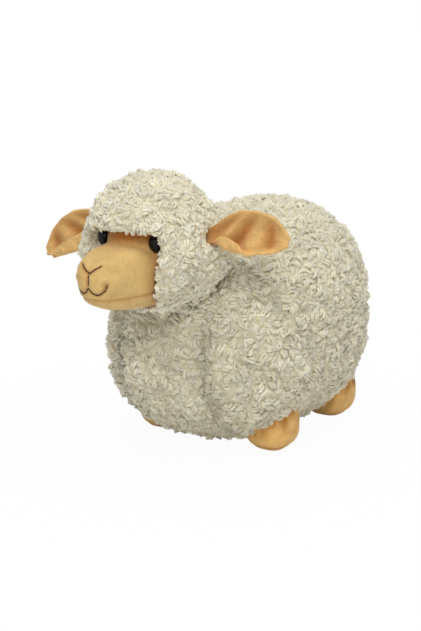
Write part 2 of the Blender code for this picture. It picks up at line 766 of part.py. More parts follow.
def ear_row(mesh, side, share, facing):
    """Corners of one layer across the ear, each as a pair at its inside and its outside."""
    place, along = ear_line(side, share)
    lean = math.radians(EAR_LEAN)
    wide = Vector((0, -math.cos(lean), math.sin(lean))).cross(along).normalized()
    normal = along.cross(wide).normalized()
    cup = EAR_CUP_DEPTH * min(1, max(0, share / EAR_WIDEST_SHARE)) ** 2
    row = []
    for step in range(EAR_COLUMNS + 1):
        across = -math.cos(math.pi * step / EAR_COLUMNS)
        flat = place + wide * ear_half_width(share) * across + normal * cup * across ** 2
        inner = flat + normal * facing * SEAM_GAP / 2
        outer = inner + normal * facing * ear_half_thickness(share, across)
        row.append((mesh.verts.new(inner), mesh.verts.new(outer)))
    return row


def build_ear_layer(side_name, side, layer_name, facing):
    """One layer of velour, from the gap at the ear's middle to its outside."""
    mesh = bmesh.new()
    rows = [ear_row(mesh, side, share, facing) for share in ear_shares()]
    for level in (0, 1):
        for row, following in zip(rows, rows[1:]):
            for step in range(EAR_COLUMNS):
                near = [row[step][level], row[step + 1][level]]
                far = [following[step + 1][level], following[step][level]]
                mesh.faces.new(near + far)
    for row, following in zip(rows, rows[1:]):
        for step in (0, EAR_COLUMNS):
            mesh.faces.new([row[step][0], row[step][1], following[step][1], following[step][0]])
    for row in (rows[0], rows[-1]):
        for step in range(EAR_COLUMNS):
            mesh.faces.new([row[step][0], row[step][1], row[step + 1][1], row[step + 1][0]])
    layer = mesh_object("layer", mesh)
    finish(layer, f"ear_{side_name}_{layer_name}", APRICOT, 0.85, ear_root(side))


def build_ears():
    """Two ears, each of a front and a back layer."""
    for side_name, side in SIDES.items():
        for layer_name, facing in (("front", 1), ("back", -1)):
            build_ear_layer(side_name, side, layer_name, facing)


def main():
    """Clears the scene and builds the sheep."""
    for old in list(bpy.data.objects):
        bpy.data.objects.remove(old)
    build_torso()
    for name, centre in foot_centres().items():
        build_foot(name, centre)
    build_neck()
    build_head()
    build_ears()
    for body in bpy.data.objects:
        if body.type == "MESH":
            body.data.shade_smooth()
            body.data.set_sharp_from_angle(angle=math.radians(SHARP_EDGE))


main()
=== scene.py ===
"""Looks of a stuffed toy sheep: curly fleece, velour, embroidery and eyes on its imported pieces.

Metres, +Z up. The sheep looks along -Y, its left side is +X, and its soles stand on Z = 0.
"""

import json
import logging
import math
from collections.abc import Callable, Iterable
from dataclasses import dataclass, field
from enum import Enum

import bpy
import numpy as np
from mathutils import Matrix, Vector, noise
from mathutils.bvhtree import BVHTree
from mathutils.kdtree import KDTree


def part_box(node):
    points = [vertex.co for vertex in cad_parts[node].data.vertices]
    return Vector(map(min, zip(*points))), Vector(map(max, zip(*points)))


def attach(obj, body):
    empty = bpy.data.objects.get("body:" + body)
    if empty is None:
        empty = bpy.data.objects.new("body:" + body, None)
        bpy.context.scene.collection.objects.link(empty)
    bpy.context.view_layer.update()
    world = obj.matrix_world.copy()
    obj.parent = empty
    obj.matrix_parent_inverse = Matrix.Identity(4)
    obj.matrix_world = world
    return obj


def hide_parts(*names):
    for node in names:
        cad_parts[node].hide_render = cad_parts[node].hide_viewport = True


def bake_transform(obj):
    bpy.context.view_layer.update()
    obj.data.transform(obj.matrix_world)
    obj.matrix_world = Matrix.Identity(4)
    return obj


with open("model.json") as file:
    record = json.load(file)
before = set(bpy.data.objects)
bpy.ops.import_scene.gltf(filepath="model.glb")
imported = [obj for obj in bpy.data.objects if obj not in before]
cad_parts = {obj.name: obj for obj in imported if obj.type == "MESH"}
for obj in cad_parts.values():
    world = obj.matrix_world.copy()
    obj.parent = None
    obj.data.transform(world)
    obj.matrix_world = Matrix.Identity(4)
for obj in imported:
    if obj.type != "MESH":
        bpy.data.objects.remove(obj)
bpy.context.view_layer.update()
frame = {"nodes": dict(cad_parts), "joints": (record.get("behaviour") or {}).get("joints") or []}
LOG = logging.getLogger("sheep")

Array = np.ndarray
Colour = tuple[float, float, float]
Draws = np.random.Generator
Material = bpy.types.Material
Node = bpy.types.Node
Piece = bpy.types.Object
Socket = bpy.types.NodeSocket
Tree = bpy.types.NodeTree
MERGE_DISTANCE = 0.00001
MOST_FACES = 190_000
JOINTS = {joint["name"]: joint for joint in frame["joints"]}
HEAD_CENTRE = Vector(JOINTS["head_nod"]["pos_m"])
HEAD_FLEECE = ("crown_panel", "cheek_panel_left", "cheek_panel_right")
TORSO_FLEECE = ("chest_panel", "belly_panel", "side_panel_left", "side_panel_right")


class Body(Enum):
    """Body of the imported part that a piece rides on."""

    TORSO = "torso"
    NECK = "neck"
    HEAD = "head"


class Side(Enum):
    """Side of the sheep, as the sign of X."""

    LEFT = 1
    RIGHT = -1

    @property
    def label(self) -> str:
        """Lower-case name of the side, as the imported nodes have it."""
        return self.name.lower()


def mirrored(place: tuple[float, float, float], side: Side) -> Vector:
    """Place that is given for the left side, on this side."""
    return Vector((side.value * place[0], place[1], place[2]))


# Tools for meshes


def select_only(*pieces: Piece) -> None:
    """Selects these pieces and makes the first one active.

    Args:
        pieces: The objects that the next operator acts on.
    """
    bpy.ops.object.select_all(action="DESELECT")
    for piece in pieces:
        piece.select_set(True)
    bpy.context.view_layer.objects.active = pieces[0]


def new_object(name: str, data: bpy.types.ID) -> Piece:
    """Adds an object to the scene.

    Args:
        name: Its name.
        data: Its mesh, curve, camera or lamp.

    Returns:
        The object.
    """
    made = bpy.data.objects.new(name, data)
    bpy.context.scene.collection.objects.link(made)
    return made


def add_shape(name: str, operator: Callable[..., object], **settings: object) -> Piece:
    """Adds one of Blender's own shapes.

    Args:
        name: Name of the new piece.
        operator: The operator that adds the shape.
        settings: The operator's settings.

    Returns:
        The new piece.
    """
    bpy.ops.object.select_all(action="DESELECT")
    operator(**settings)
    piece = bpy.context.view_layer.objects.active
    piece.name = name
    return piece


def edit_all(*steps: Callable[[], object]) -> None:
    """Runs operators in edit mode, each on the whole active piece.

    Args:
        steps: Calls of the operators.
    """
    bpy.ops.object.mode_set(mode="EDIT")
    for step in steps:
        bpy.ops.mesh.select_all(action="SELECT")
        step()
    bpy.ops.object.mode_set(mode="OBJECT")


def merge_doubles() -> None:
    """Merges points of the active piece that lie on each other."""
    edit_all(lambda: bpy.ops.mesh.remove_doubles(threshold=MERGE_DISTANCE))


def mesh_of_curve(name: str, data: bpy.types.Curve) -> Piece:
    """Turns a curve into a mesh.

    Args:
        name: Name of the new piece.
        data: The curve.

    Returns:
        The mesh's piece, which is selected and active.
    """
    select_only(new_object(name, data))
    bpy.ops.object.convert(target="MESH")
    return bpy.context.view_layer.objects.active


def copy_of_nodes(name: str, *nodes: str) -> Piece:
    """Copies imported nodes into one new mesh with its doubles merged.

    Args:
        name: Name of the new piece.
        nodes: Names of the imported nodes.

    Returns:
        The joined copy, at the origin and on no body yet.
    """
    copies = [new_object(name, frame["nodes"][node].data.copy()) for node in nodes]
    for made in copies:
        made.data.materials.clear()
    select_only(*copies)
    if len(copies) > 1:
        bpy.ops.object.join()
    piece = bpy.context.view_layer.objects.active
    if piece.data.has_custom_normals:
        bpy.ops.mesh.customdata_custom_splitnormals_clear()
    merge_doubles()
    for layer in list(piece.data.uv_layers):
        piece.data.uv_layers.remove(layer)
    return piece


def apply_modifier(piece: Piece, kind: str, **settings: object) -> None:
    """Adds a modifier with its settings and applies it.

    Args:
        piece: The mesh that it changes.
        kind: Blender's type of the modifier.
        settings: Values of its properties.
    """
    step = piece.modifiers.new(kind.title(), kind)
    for key, value in settings.items():
        setattr(step, key, value)
    select_only(piece)
    bpy.ops.object.modifier_apply(modifier=step.name)


def rounded_copy(name: str, nodes: Iterable[str], voxel: float, smoothings: int) -> Piece:
    """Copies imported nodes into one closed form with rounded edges.

    Args:
        name: Name of the new piece.
        nodes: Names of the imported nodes.
        voxel: Size of the cells that it is built of.
        smoothings: How often it is smoothed.

    Returns:
        The rounded copy.
    """
    piece = copy_of_nodes(name, *nodes)
    apply_modifier(piece, "REMESH", mode="VOXEL", voxel_size=voxel)
    apply_modifier(piece, "SMOOTH", factor=0.5, iterations=smoothings)
    return piece


def read_rows(items: bpy.types.bpy_prop_collection, key: str, width: int, kind: type) -> Array:
    """Reads one property of every item of a mesh's list.

    Args:
        items: The vertices, faces or other items.
        key: Name of the property.
        width: How many numbers it has.
        kind: Type of the numbers.

    Returns:
        One row for each item.
    """
    values = np.zeros(len(items) * width, kind)
    items.foreach_get(key, values)
    return values.reshape(-1, width)


def read_points(piece: Piece) -> Array:
    """Places of a mesh's vertices, one row each."""
    return read_rows(piece.data.vertices, "co", 3, float)


def read_normals(piece: Piece) -> Array:
    """Normals of a mesh's vertices, one row each."""
    return read_rows(piece.data.vertex_normals, "vector", 3, np.float32).astype(float)


def write_points(piece: Piece, points: Array) -> None:
    """Moves a mesh's vertices to these places."""
    piece.data.vertices.foreach_set("co", points.astype(np.float32).ravel())
    piece.data.update()


def set_value(piece: Piece, name: str, values: Array) -> None:
    """Keeps one number for each vertex, under a name that the material reads."""
    attribute = piece.data.attributes.get(name) or piece.data.attributes.new(name, "FLOAT", "POINT")
    attribute.data.foreach_set("value", values.astype(np.float32))


def shade_smooth(piece: Piece) -> None:
    """Shades every face of a piece smooth."""
    piece.data.polygons.foreach_set("use_smooth", [True] * len(piece.data.polygons))
    piece.data.update()


def distances(points: Array, place: Vector) -> Array:
    """Distance of each point from one place."""
    return np.linalg.norm(points - np.array(place), axis=1)


def directions(points: Array, centre: Vector) -> Array:
    """Unit vector from a centre towards each point."""
    return (points - np.array(centre)) / distances(points, centre)[:, None]


def bump(distance: Array, width: float) -> Array:
    """Bell curve, 1 at distance 0 and near 0 past two widths."""
    return np.exp(-((distance / width) ** 2))


def bumps(points: Array, places: Iterable[Vector], width: float) -> Array:
    """Sum of bell curves around several places."""
    return sum(bump(distances(points, place), width) for place in places)


def lumps(points: Array, size: float, seed: float = 0.0) -> Array:
    """Smooth noise between about -1 and 1 at each point.

    Args:
        points: Places, one row each.
        size: Width of a lump.
        seed: Shifts the pattern, so that two uses differ.

    Returns:
        One value for each point.
    """
    shift = Vector((seed * 7.1, seed * 3.7, seed * 5.3))
    return np.array([noise.noise(Vector(point) / size + shift) for point in points])


def tree_of(piece: Piece) -> BVHTree:
    """Search tree of a mesh's faces."""
    points = [vertex.co for vertex in piece.data.vertices]
    return BVHTree.FromPolygons(points, [face.vertices for face in piece.data.polygons])


def tree_of_node(node: str) -> BVHTree:
    """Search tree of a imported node's faces."""
    return tree_of(frame["nodes"][node])


def tree_of_points(places: Array) -> KDTree:
    """Puts points in a search tree, each under the number of its row.

    Args:
        places: The points, one row each.

    Returns:
        The balanced tree.
    """
    tree = KDTree(len(places))
    for index, place in enumerate(places):
        tree.insert(place, index)
    tree.balance()
    return tree


# Tools for materials


def feed(tree: Tree, node: Node, inputs: dict[int | str, object]) -> None:
    """Links a node's inputs, or gives them values.

    Args:
        tree: Where the node is.
        node: The node.
        inputs: For an input's name or number, the socket that it is linked to, or else its value.
    """
    for key, given in inputs.items():
        if isinstance(given, Socket):
            tree.links.new(given, node.inputs[key])
        else:
            node.inputs[key].default_value = given


def add_node(tree: Tree, kind: str, inputs: dict[int | str, object],
             **settings: object) -> Node:
    """Adds a shader node.

    Args:
        tree: Where it is added.
        kind: Blender's type of the node, without ShaderNode in front.
        inputs: What its inputs are fed with.
        settings: Values of its properties.

    Returns:
        The node.
    """
    node = tree.nodes.new(f"ShaderNode{kind}")
    for key, value in settings.items():
        setattr(node, key, value)
    feed(tree, node, inputs)
    return node


def calculated(tree: Tree, operation: str, *terms: float | Socket) -> Socket:
    """Result of a Math node on these terms."""
    return add_node(tree, "Math", dict(enumerate(terms)), operation=operation).outputs[0]


def ranged(tree: Tree, value: Socket, start: float, end: float, low: float = 0.0,
           high: float = 1.0) -> Socket:
    """Value that goes from low to high while another goes from start to end."""
    inputs = {"Value": value, "From Min": start, "From Max": end, "To Min": low, "To Max": high}
    return add_node(tree, "MapRange", inputs).outputs["Result"]


def own_value(tree: Tree, name: str) -> Socket:
    """Value that each vertex of the piece has under this name."""
    return add_node(tree, "Attribute", {}, attribute_name=name).outputs["Fac"]


def blended(tree: Tree, share: Socket, first: Colour | Socket, second: Colour) -> Socket:
    """Mixes two colours.

    Args:
        tree: The material's nodes.
        share: Share of the second colour.
        first: The first colour.
        second: The second colour.

    Returns:
        The mixed colour.
    """
    factor, colour_a, colour_b, result = 0, 6, 7, 2
    start = first if isinstance(first, Socket) else (*first, 1)
    inputs = {factor: share, colour_a: start, colour_b: (*second, 1)}
    return add_node(tree, "Mix", inputs, data_type="RGBA").outputs[result]


def toned(tree: Tree, colour: Socket, tone: Socket) -> Socket:
    """Colour made lighter or darker by a tone around 1."""
    return add_node(tree, "VectorMath", {0: colour, "Scale": tone}, operation="SCALE").outputs[0]


def relief(tree: Tree, height: Socket, depth: float, strength: float = 1.0) -> Socket:
    """Normal of a surface with this height in its pile."""
    inputs = {"Height": height, "Distance": depth, "Strength": strength}
    return add_node(tree, "Bump", inputs).outputs["Normal"]


def noise_group(name: str, inputs: dict[str, float], output: str, detail: float,
                roughness: float) -> tuple[Tree, object, Socket, Node]:
    """Starts a node group around noise in the piece's own coordinates.

    Args:
        name: Name of the group.
        inputs: Input names and their first values. The first input is the noise's scale.
        output: Name of the output.
        detail: Detail of the noise.
        roughness: Roughness of the noise.

    Returns:
        The group, its inputs as sockets, the noise, and the node that takes the output.
    """
    group = bpy.data.node_groups.new(name, "ShaderNodeTree")
    for label, value in inputs.items():
        socket = group.interface.new_socket(name=label, in_out="INPUT", socket_type="NodeSocketFloat")
        socket.default_value = value
    group.interface.new_socket(name=output, in_out="OUTPUT", socket_type="NodeSocketFloat")
    given = group.nodes.new("NodeGroupInput").outputs
    place = add_node(group, "TexCoord", {}).outputs["Object"]
    settings = {"Vector": place, "Scale": given[0], "Detail": detail, "Roughness": roughness}
    values = add_node(group, "TexNoise", settings).outputs["Fac"]
    return group, given, values, group.nodes.new("NodeGroupOutput")


def mottling_group() -> Tree:
    """Makes soft patches, as dyed and handled cloth has them.

    Returns:
        Group with the inputs Patches (per metre) and Amount, and the output Tone, around 1.
    """
    inputs = {"Patches": 60.0, "Amount": 0.1}
    group, given, patches, out = noise_group("Soft mottling", inputs, "Tone", detail=3.0, roughness=0.5)
    centred = calculated(group, "SUBTRACT", patches, 0.5)
    feed(group, out, {"Tone": calculated(group, "MULTIPLY_ADD", centred, given["Amount"], 1.0)})
    return group


def short_pile_group() -> Tree:
    """Makes the fine upright fibres of a short pile.

    Returns:
        Group with the input Fibres (per metre) and the output Height.
    """
    group, _, fibres, out = noise_group("Short pile", {"Fibres": 2600.0}, "Height", detail=2.0, roughness=0.7)
    feed(group, out, {"Height": fibres})
    return group


def mottling(tree: Tree, patches: float, amount: float) -> Socket:
    """Tone around 1 in soft patches, so many per metre."""
    group = bpy.data.node_groups.get("Soft mottling") or mottling_group()
    return add_node(tree, "Group", {"Patches": patches, "Amount": amount}, node_tree=group).outputs["Tone"]


def short_pile(tree: Tree, fibres: float) -> Socket:
    """Height of fine fibres, so many per metre."""
    group = bpy.data.node_groups.get("Short pile") or short_pile_group()
    return add_node(tree, "Group", {"Fibres": fibres}, node_tree=group).outputs["Height"]


def new_material(name: str) -> Material:
    """Starts a material with Blender's standard shader.

    Args:
        name: Its name.

    Returns:
        The material.
    """
    made = bpy.data.materials.new(name)
    made.use_nodes = True
    return made


def set_shader(made: Material, inputs: dict[str, object]) -> None:
    """Links the inputs of a material's shader, or gives them values."""
    feed(made.node_tree, made.node_tree.nodes["Principled BSDF"], inputs)


# Finishes


@dataclass(frozen=True)
class Fleece:
    """Curly cream pile. Its colour is darker and yellower towards the curls' roots as painted shade between
    them, and paler at the tips as painted light.
    """

    # The darker, yellower depth colour is painted shade between the curls' roots; the paler tip colour is
    # painted light.
    depth: Colour = (0.80, 0.72, 0.50)
    curl: Colour = (0.81, 0.755, 0.585)
    tip: Colour = (0.83, 0.795, 0.66)
    shine: Colour = (1.0, 0.95, 0.83)
    roughness: float = 0.95
    sheen: float = 0.5
    gloss: float = 0.2
    scattered: float = 0.85
    light_depth: float = 0.0007
    fibres: float = 1500.0
    pile_depth: float = 0.0005
    pile_strength: float = 0.15
    patches: float = 45.0
    blotches: float = 0.16
    curl_by: float = 0.45
    tip_from: float = 0.4

    def material(self) -> Material:
        """Makes the material, which reads the values along and tone of each curl.

        Returns:
            The fleece's material.
        """
        made = new_material("fleece")
        tree = made.node_tree
        # Painted shade and light: the colour darkens from the tip towards the root of each curl.
        along = own_value(tree, "along")
        lower = blended(tree, ranged(tree, along, 0.0, self.curl_by), self.depth, self.curl)
        upper = blended(tree, ranged(tree, along, self.tip_from, 1.0), lower, self.tip)
        patchy = mottling(tree, self.patches, self.blotches)
        tone = calculated(tree, "MULTIPLY", patchy, own_value(tree, "tone"))
        set_shader(made, {
            "Base Color": toned(tree, upper, tone),
            "Roughness": self.roughness,
            "Specular IOR Level": self.gloss,
            "Sheen Weight": self.sheen,
            "Sheen Tint": (*self.shine, 1),
            "Subsurface Weight": self.scattered,
            "Subsurface Radius": (1.0, 1.0, 1.0),
            "Subsurface Scale": self.light_depth,
            "Normal": relief(tree, short_pile(tree, self.fibres), self.pile_depth, self.pile_strength),
        })
        return made


@dataclass(frozen=True)
class Velour:
    """Apricot velour with a short soft pile. Its colour holds painted shade in creases and hollows and soft
    random mottling.
    """

    name: str = "velour"
    # The lit colour, and the darker colour of painted shade that each vertex's mask mixes in.
    lit: Colour = (0.74, 0.50, 0.185)
    pressed: Colour = (0.46, 0.17, 0.035)
    shine: Colour = (1.0, 0.86, 0.62)
    roughness: float = 0.85
    sheen: float = 0.35
    gloss: float = 0.25
    fibres: float = 2600.0
    pile_depth: float = 0.0004
    pile_strength: float = 0.8
    patches: float = 110.0
    blotches: float = 0.36
    fine_patches: float = 700.0
    speckles: float = 0.50

    def material(self) -> Material:
        """Makes the material, which mixes the lit colour and the colour of painted shade by each vertex's
        mask of painted shade and mottling.

        Returns:
            The velour's material.
        """
        made = new_material(self.name)
        tree = made.node_tree
        # Painted shade: each vertex's mask darkens the lit colour towards the shaded one.
        colour = blended(tree, own_value(tree, "pressed"), self.lit, self.pressed)
        blotchy = mottling(tree, self.patches, self.blotches)
        tone = calculated(tree, "MULTIPLY", blotchy, mottling(tree, self.fine_patches, self.speckles))
        set_shader(made, {
            "Base Color": toned(tree, colour, tone),
            "Roughness": self.roughness,
            "Specular IOR Level": self.gloss,
            "Sheen Weight": self.sheen,
            "Sheen Tint": (*self.shine, 1),
            "Normal": relief(tree, short_pile(tree, self.fibres), self.pile_depth, self.pile_strength),
        })
        return made


@dataclass(frozen=True)
class Grained:
    """Plain finish whose colour changes a little from fibre to fibre or grain to grain."""

    name: str
    low: Colour
    high: Colour
    roughness: float
    fibres: float
    pile_depth: float = 0.0

    def material(self) -> Material:
        """Makes the material.

        Returns:
            The finish's material.
        """
        made = new_material(self.name)
        tree = made.node_tree
        height = short_pile(tree, self.fibres)
        colour = blended(tree, height, self.low, self.high)
        set_shader(made, {"Base Color": colour, "Roughness": self.roughness})
        if self.pile_depth:
            set_shader(made, {"Normal": relief(tree, height, self.pile_depth)})
        return made


FILLING = Grained(
    "filling", low=(0.86, 0.86, 0.84), high=(0.688, 0.688, 0.672), roughness=1.0, fibres=700.0,
    pile_depth=0.001,
)
THREAD = Grained(
    "thread", low=(0.030, 0.014, 0.008), high=(0.075, 0.036, 0.020), roughness=0.7, fibres=3500.0,
)
WASHER_PLASTIC = Grained(
    "washer_plastic", low=(0.80, 0.80, 0.77), high=(0.72, 0.72, 0.693), roughness=0.5, fibres=900.0,
)


@dataclass(frozen=True)
class GlossyPlastic:
    """Polished black plastic of the eyes, with a little dust and handling in its gloss."""

    colour: Colour = (0.004, 0.003, 0.003)
    roughness: float = 0.09
    gloss: float = 0.16
    patches: float = 300.0
    handling: float = 0.3

    def material(self) -> Material:
        """Makes the eyes' material.

        Returns:
            The material.
        """
        made = new_material("eye_plastic")
        haze = mottling(made.node_tree, self.patches, self.handling)
        set_shader(made, {
            "Base Color": (*self.colour, 1),
            "Specular IOR Level": self.gloss,
            "Roughness": calculated(made.node_tree, "MULTIPLY", haze, self.roughness),
        })
        return made


# Pieces


def dress(piece: Piece, material: Material, nodes: Iterable[str] = ()) -> None:
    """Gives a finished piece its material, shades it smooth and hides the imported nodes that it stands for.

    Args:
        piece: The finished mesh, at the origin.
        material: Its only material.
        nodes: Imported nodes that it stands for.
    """
    piece.data.materials.clear()
    piece.data.materials.append(material)
    shade_smooth(piece)
    nodes = tuple(nodes)
    if nodes:
        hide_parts(*nodes)
    LOG.info("%s: %d faces", piece.name, len(piece.data.polygons))


def settle(piece: Piece, material: Material, body: Body, nodes: Iterable[str] = ()) -> None:
    """Dresses a finished piece, as dress does, and fixes it to one body."""
    dress(piece, material, nodes)
    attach(piece, body.value)


@dataclass
class CurlShape:
    """Mesh of one curl as arrays: points, face corners, face sizes, and how far along it each point is."""

    points: Array
    corners: Array
    sizes: Array
    along: Array

    def wound(self, mirrored: bool) -> Array:
        """Lists the corners of the curl's faces.

        Args:
            mirrored: Whether the curl is mirrored, which turns the order round.

        Returns:
            The corners, face after face.
        """
        if not mirrored:
            return self.corners
        ends = np.cumsum(self.sizes)
        return np.concatenate([self.corners[end - size:end][::-1] for size, end in zip(self.sizes, ends)])


@dataclass
class CurlPattern:
    """Small lock of fleece that rises from the backing and curls over, in several shapes."""

    length: float = 0.0076
    strand_width: float = 0.0026
    strand_spread: float = 0.00120
    strands: int = 3
    rings: int = 5
    sides: int = 4
    shapes: int = 16
    start_lean: float = 5.0
    end_lean: float = 205.0
    swirl: float = 130.0
    twist: float = 160.0
    seed: int = 11
    widths: tuple[tuple[float, float], ...] = ((0, 0.85), (0.3, 1.0), (0.75, 0.9), (1, 0.35))
    spreads: tuple[tuple[float, float], ...] = ((0, 0.8), (0.5, 1.0), (1, 1.3))

    def middle_line(self, draw: Draws) -> tuple[Array, Array]:
        """Draws the line that the strands of one lock wind round.

        Args:
            draw: Source of the shape's random numbers.

        Returns:
            The line's points, and its direction at each.
        """
        lean_end = math.radians(self.end_lean * draw.uniform(0.75, 1.15))
        swirl = math.radians(self.swirl * draw.uniform(-1, 1))
        share = np.linspace(0, 1, self.rings)
        lean = math.radians(self.start_lean) + lean_end * share ** draw.uniform(0.8, 1.3)
        turn = swirl * share
        ways = np.stack([np.sin(lean) * np.cos(turn), np.sin(lean) * np.sin(turn), np.cos(lean)], 1)
        steps = (ways[1:] + ways[:-1]) / 2 * self.length / (self.rings - 1)
        return np.vstack([[0, 0, 0], np.cumsum(steps, 0)]), ways

    def strand_lines(self, draw: Draws) -> list[Array]:
        """Draws the middle lines of one lock's twisted strands.

        Args:
            draw: Source of the shape's random numbers.

        Returns:
            The points of each strand's line.
        """
        points, ways = self.middle_line(draw)
        across = np.cross(ways, [0.3, 1, 0.2])
        across /= np.linalg.norm(across, axis=1)[:, None]
        beside = np.cross(ways, across)
        share = np.linspace(0, 1, self.rings)
        lines = []
        for strand in range(self.strands):
            start = 360 * (strand + draw.uniform(-0.2, 0.2)) / self.strands
            turn = np.radians(start + self.twist * share)
            reach = self.strand_spread * np.interp(share, *zip(*self.spreads)) * draw.uniform(0.8, 1.2)
            offset = across * (np.cos(turn) * reach)[:, None] + beside * (np.sin(turn) * reach)[:, None]
            lines.append(points + offset)
        return lines

    def model(self, draw: Draws, profile: Piece) -> CurlShape:
        """Models one lock as twisted strands swept along their lines.

        Args:
            draw: Source of the shape's random numbers.
            profile: Closed curve that is the section of a strand.

        Returns:
            The lock as arrays.
        """
        data = bpy.data.curves.new("curl", "CURVE")
        data.dimensions = "3D"
        data.bevel_mode = "OBJECT"
        data.bevel_object = profile
        data.use_fill_caps = True
        share = np.linspace(0, 1, self.rings)
        widths = np.interp(share, *zip(*self.widths))
        lines = self.strand_lines(draw)
        for line in lines:
            spline = data.splines.new("POLY")
            spline.points.add(self.rings - 1)
            for point, place, width in zip(spline.points, line, widths):
                point.co = (*place, 1)
                point.radius = width
        piece = mesh_of_curve("curl", data)
        merge_doubles()
        corners = read_rows(piece.data.loops, "vertex_index", 1, np.int32)[:, 0]
        sizes = read_rows(piece.data.polygons, "loop_total", 1, np.int32)[:, 0]
        places = read_points(piece)
        gaps = np.linalg.norm(places[:, None] - np.concatenate(lines)[None], axis=2)
        along = np.tile(share, self.strands)[gaps.argmin(1)]
        bpy.data.objects.remove(piece)
        return CurlShape(places, corners, sizes, along)

    def model_all(self) -> list[CurlShape]:
        """Models every shape of the lock.

        Returns:
            The shapes.
        """
        draw = np.random.default_rng(self.seed)
        radius = self.strand_width / 2
        profile = add_shape("strand_section", bpy.ops.curve.primitive_bezier_circle_add, radius=radius)
        profile.data.splines.clear()
        section = profile.data.splines.new("POLY")
        section.points.add(self.sides - 1)
        for corner, point in enumerate(section.points):
            turn = 2 * math.pi * corner / self.sides
            point.co = (math.cos(turn) * radius, math.sin(turn) * radius, 0, 1)
        section.use_cyclic_u = True
        shapes = [self.model(draw, profile) for _ in range(self.shapes)]
        bpy.data.objects.remove(profile)
        return shapes


@dataclass
class Curls:
    """Curls as they stand on a backing, with one row or value for each."""

    places: Array
    turns: Array
    scales: Array
    tones: Array
    kinds: Array
    mirrored: Array

    def piece(self, label: str, shapes: list[CurlShape], chosen: Array, lowest: float) -> Piece:
        """Makes one mesh of some of the curls.

        Args:
            label: Name of the piece.
            shapes: The shapes of curl.
            chosen: Numbers of the curls that go into the piece.
            lowest: Height under which no point goes.

        Returns:
            The new piece, with the values along and tone for its material.
        """
        points, corners, along, tones = [], [], [], []
        start = 0
        for index in chosen:
            shape = shapes[self.kinds[index]]
            local = shape.points * self.scales[index]
            if self.mirrored[index]:
                local = local * [1, -1, 1]
            points.append(local @ self.turns[index].T + self.places[index])
            corners.append(shape.wound(self.mirrored[index]) + start)
            along.append(shape.along)
            tones.append(np.full(len(local), self.tones[index]))
            start += len(local)
        places = np.concatenate(points)
        places[:, 2] = np.maximum(places[:, 2], lowest)
        sizes = np.concatenate([shapes[self.kinds[index]].sizes for index in chosen])
        mesh = bpy.data.meshes.new(label)
        mesh.vertices.add(len(places))
        mesh.vertices.foreach_set("co", places.astype(np.float32).ravel())
        mesh.loops.add(int(sizes.sum()))
        mesh.loops.foreach_set("vertex_index", np.concatenate(corners).astype(np.int32))
        mesh.polygons.add(len(sizes))
        mesh.polygons.foreach_set("loop_start", np.append(0, np.cumsum(sizes)[:-1]).astype(np.int32))
        mesh.update(calc_edges=True)
        piece = new_object(label, mesh)
        set_value(piece, "along", np.concatenate(along))
        set_value(piece, "tone", np.concatenate(tones))
        return piece


@dataclass
class Roots:
    """Places where curls are fixed, with the backing's normal at each."""

    places: Array
    normals: Array


@dataclass(frozen=True)
class Pile:
    """How curls lean, how large they are and how bright, from place to place, with painted light on the
    tufts' middles and the lumps' tops and painted shade in the hollows between them.
    """

    swirl: float = 0.5
    swirl_size: float = 0.020
    fall: tuple[float, float, float] = (0.0, 0.08, -0.20)
    tuft_lean: float = 0.45
    tuft_spread: float = 0.12
    edge_lean: float = 0.8
    lean_scatter: float = 0.25
    rim_size: float = 0.80
    rim_growth: float = 0.4
    tuft_edge_size: float = 0.90
    tuft_growth: float = 0.20
    edge_shrink: float = 0.5
    flank_shrink: float = 0.35
    sizes: tuple[float, float] = (0.85, 1.15)
    tone: float = 0.96
    # Painted light on the raised middles of tufts, and painted light and shade that follows the backing's
    # lumps.
    tuft_tone: float = 0.06
    lump_tone: float = 0.14
    curl_tone_scatter: float = 0.005
    tuft_tone_scatter: float = 0.03
    # The backing takes the curls' colour low down, inside their painted root shade, and a slightly lower
    # tone.
    backing_tone: float = 0.95
    backing_along: float = 0.30


def flank(points: Array) -> Array:
    """Says where the fleece is tucked in, at the lower flanks between the feet.

    Args:
        points: Places, one row each.

    Returns:
        For each point a share from 0 to 1.
    """
    middle = np.array([0.070, 0.030, 0.028])
    width = np.array([0.022, 0.034, 0.018])
    one_side = np.column_stack([np.abs(points[:, 0]), points[:, 1:]])
    return bump(np.linalg.norm((one_side - middle) / width, axis=1), 1.0)


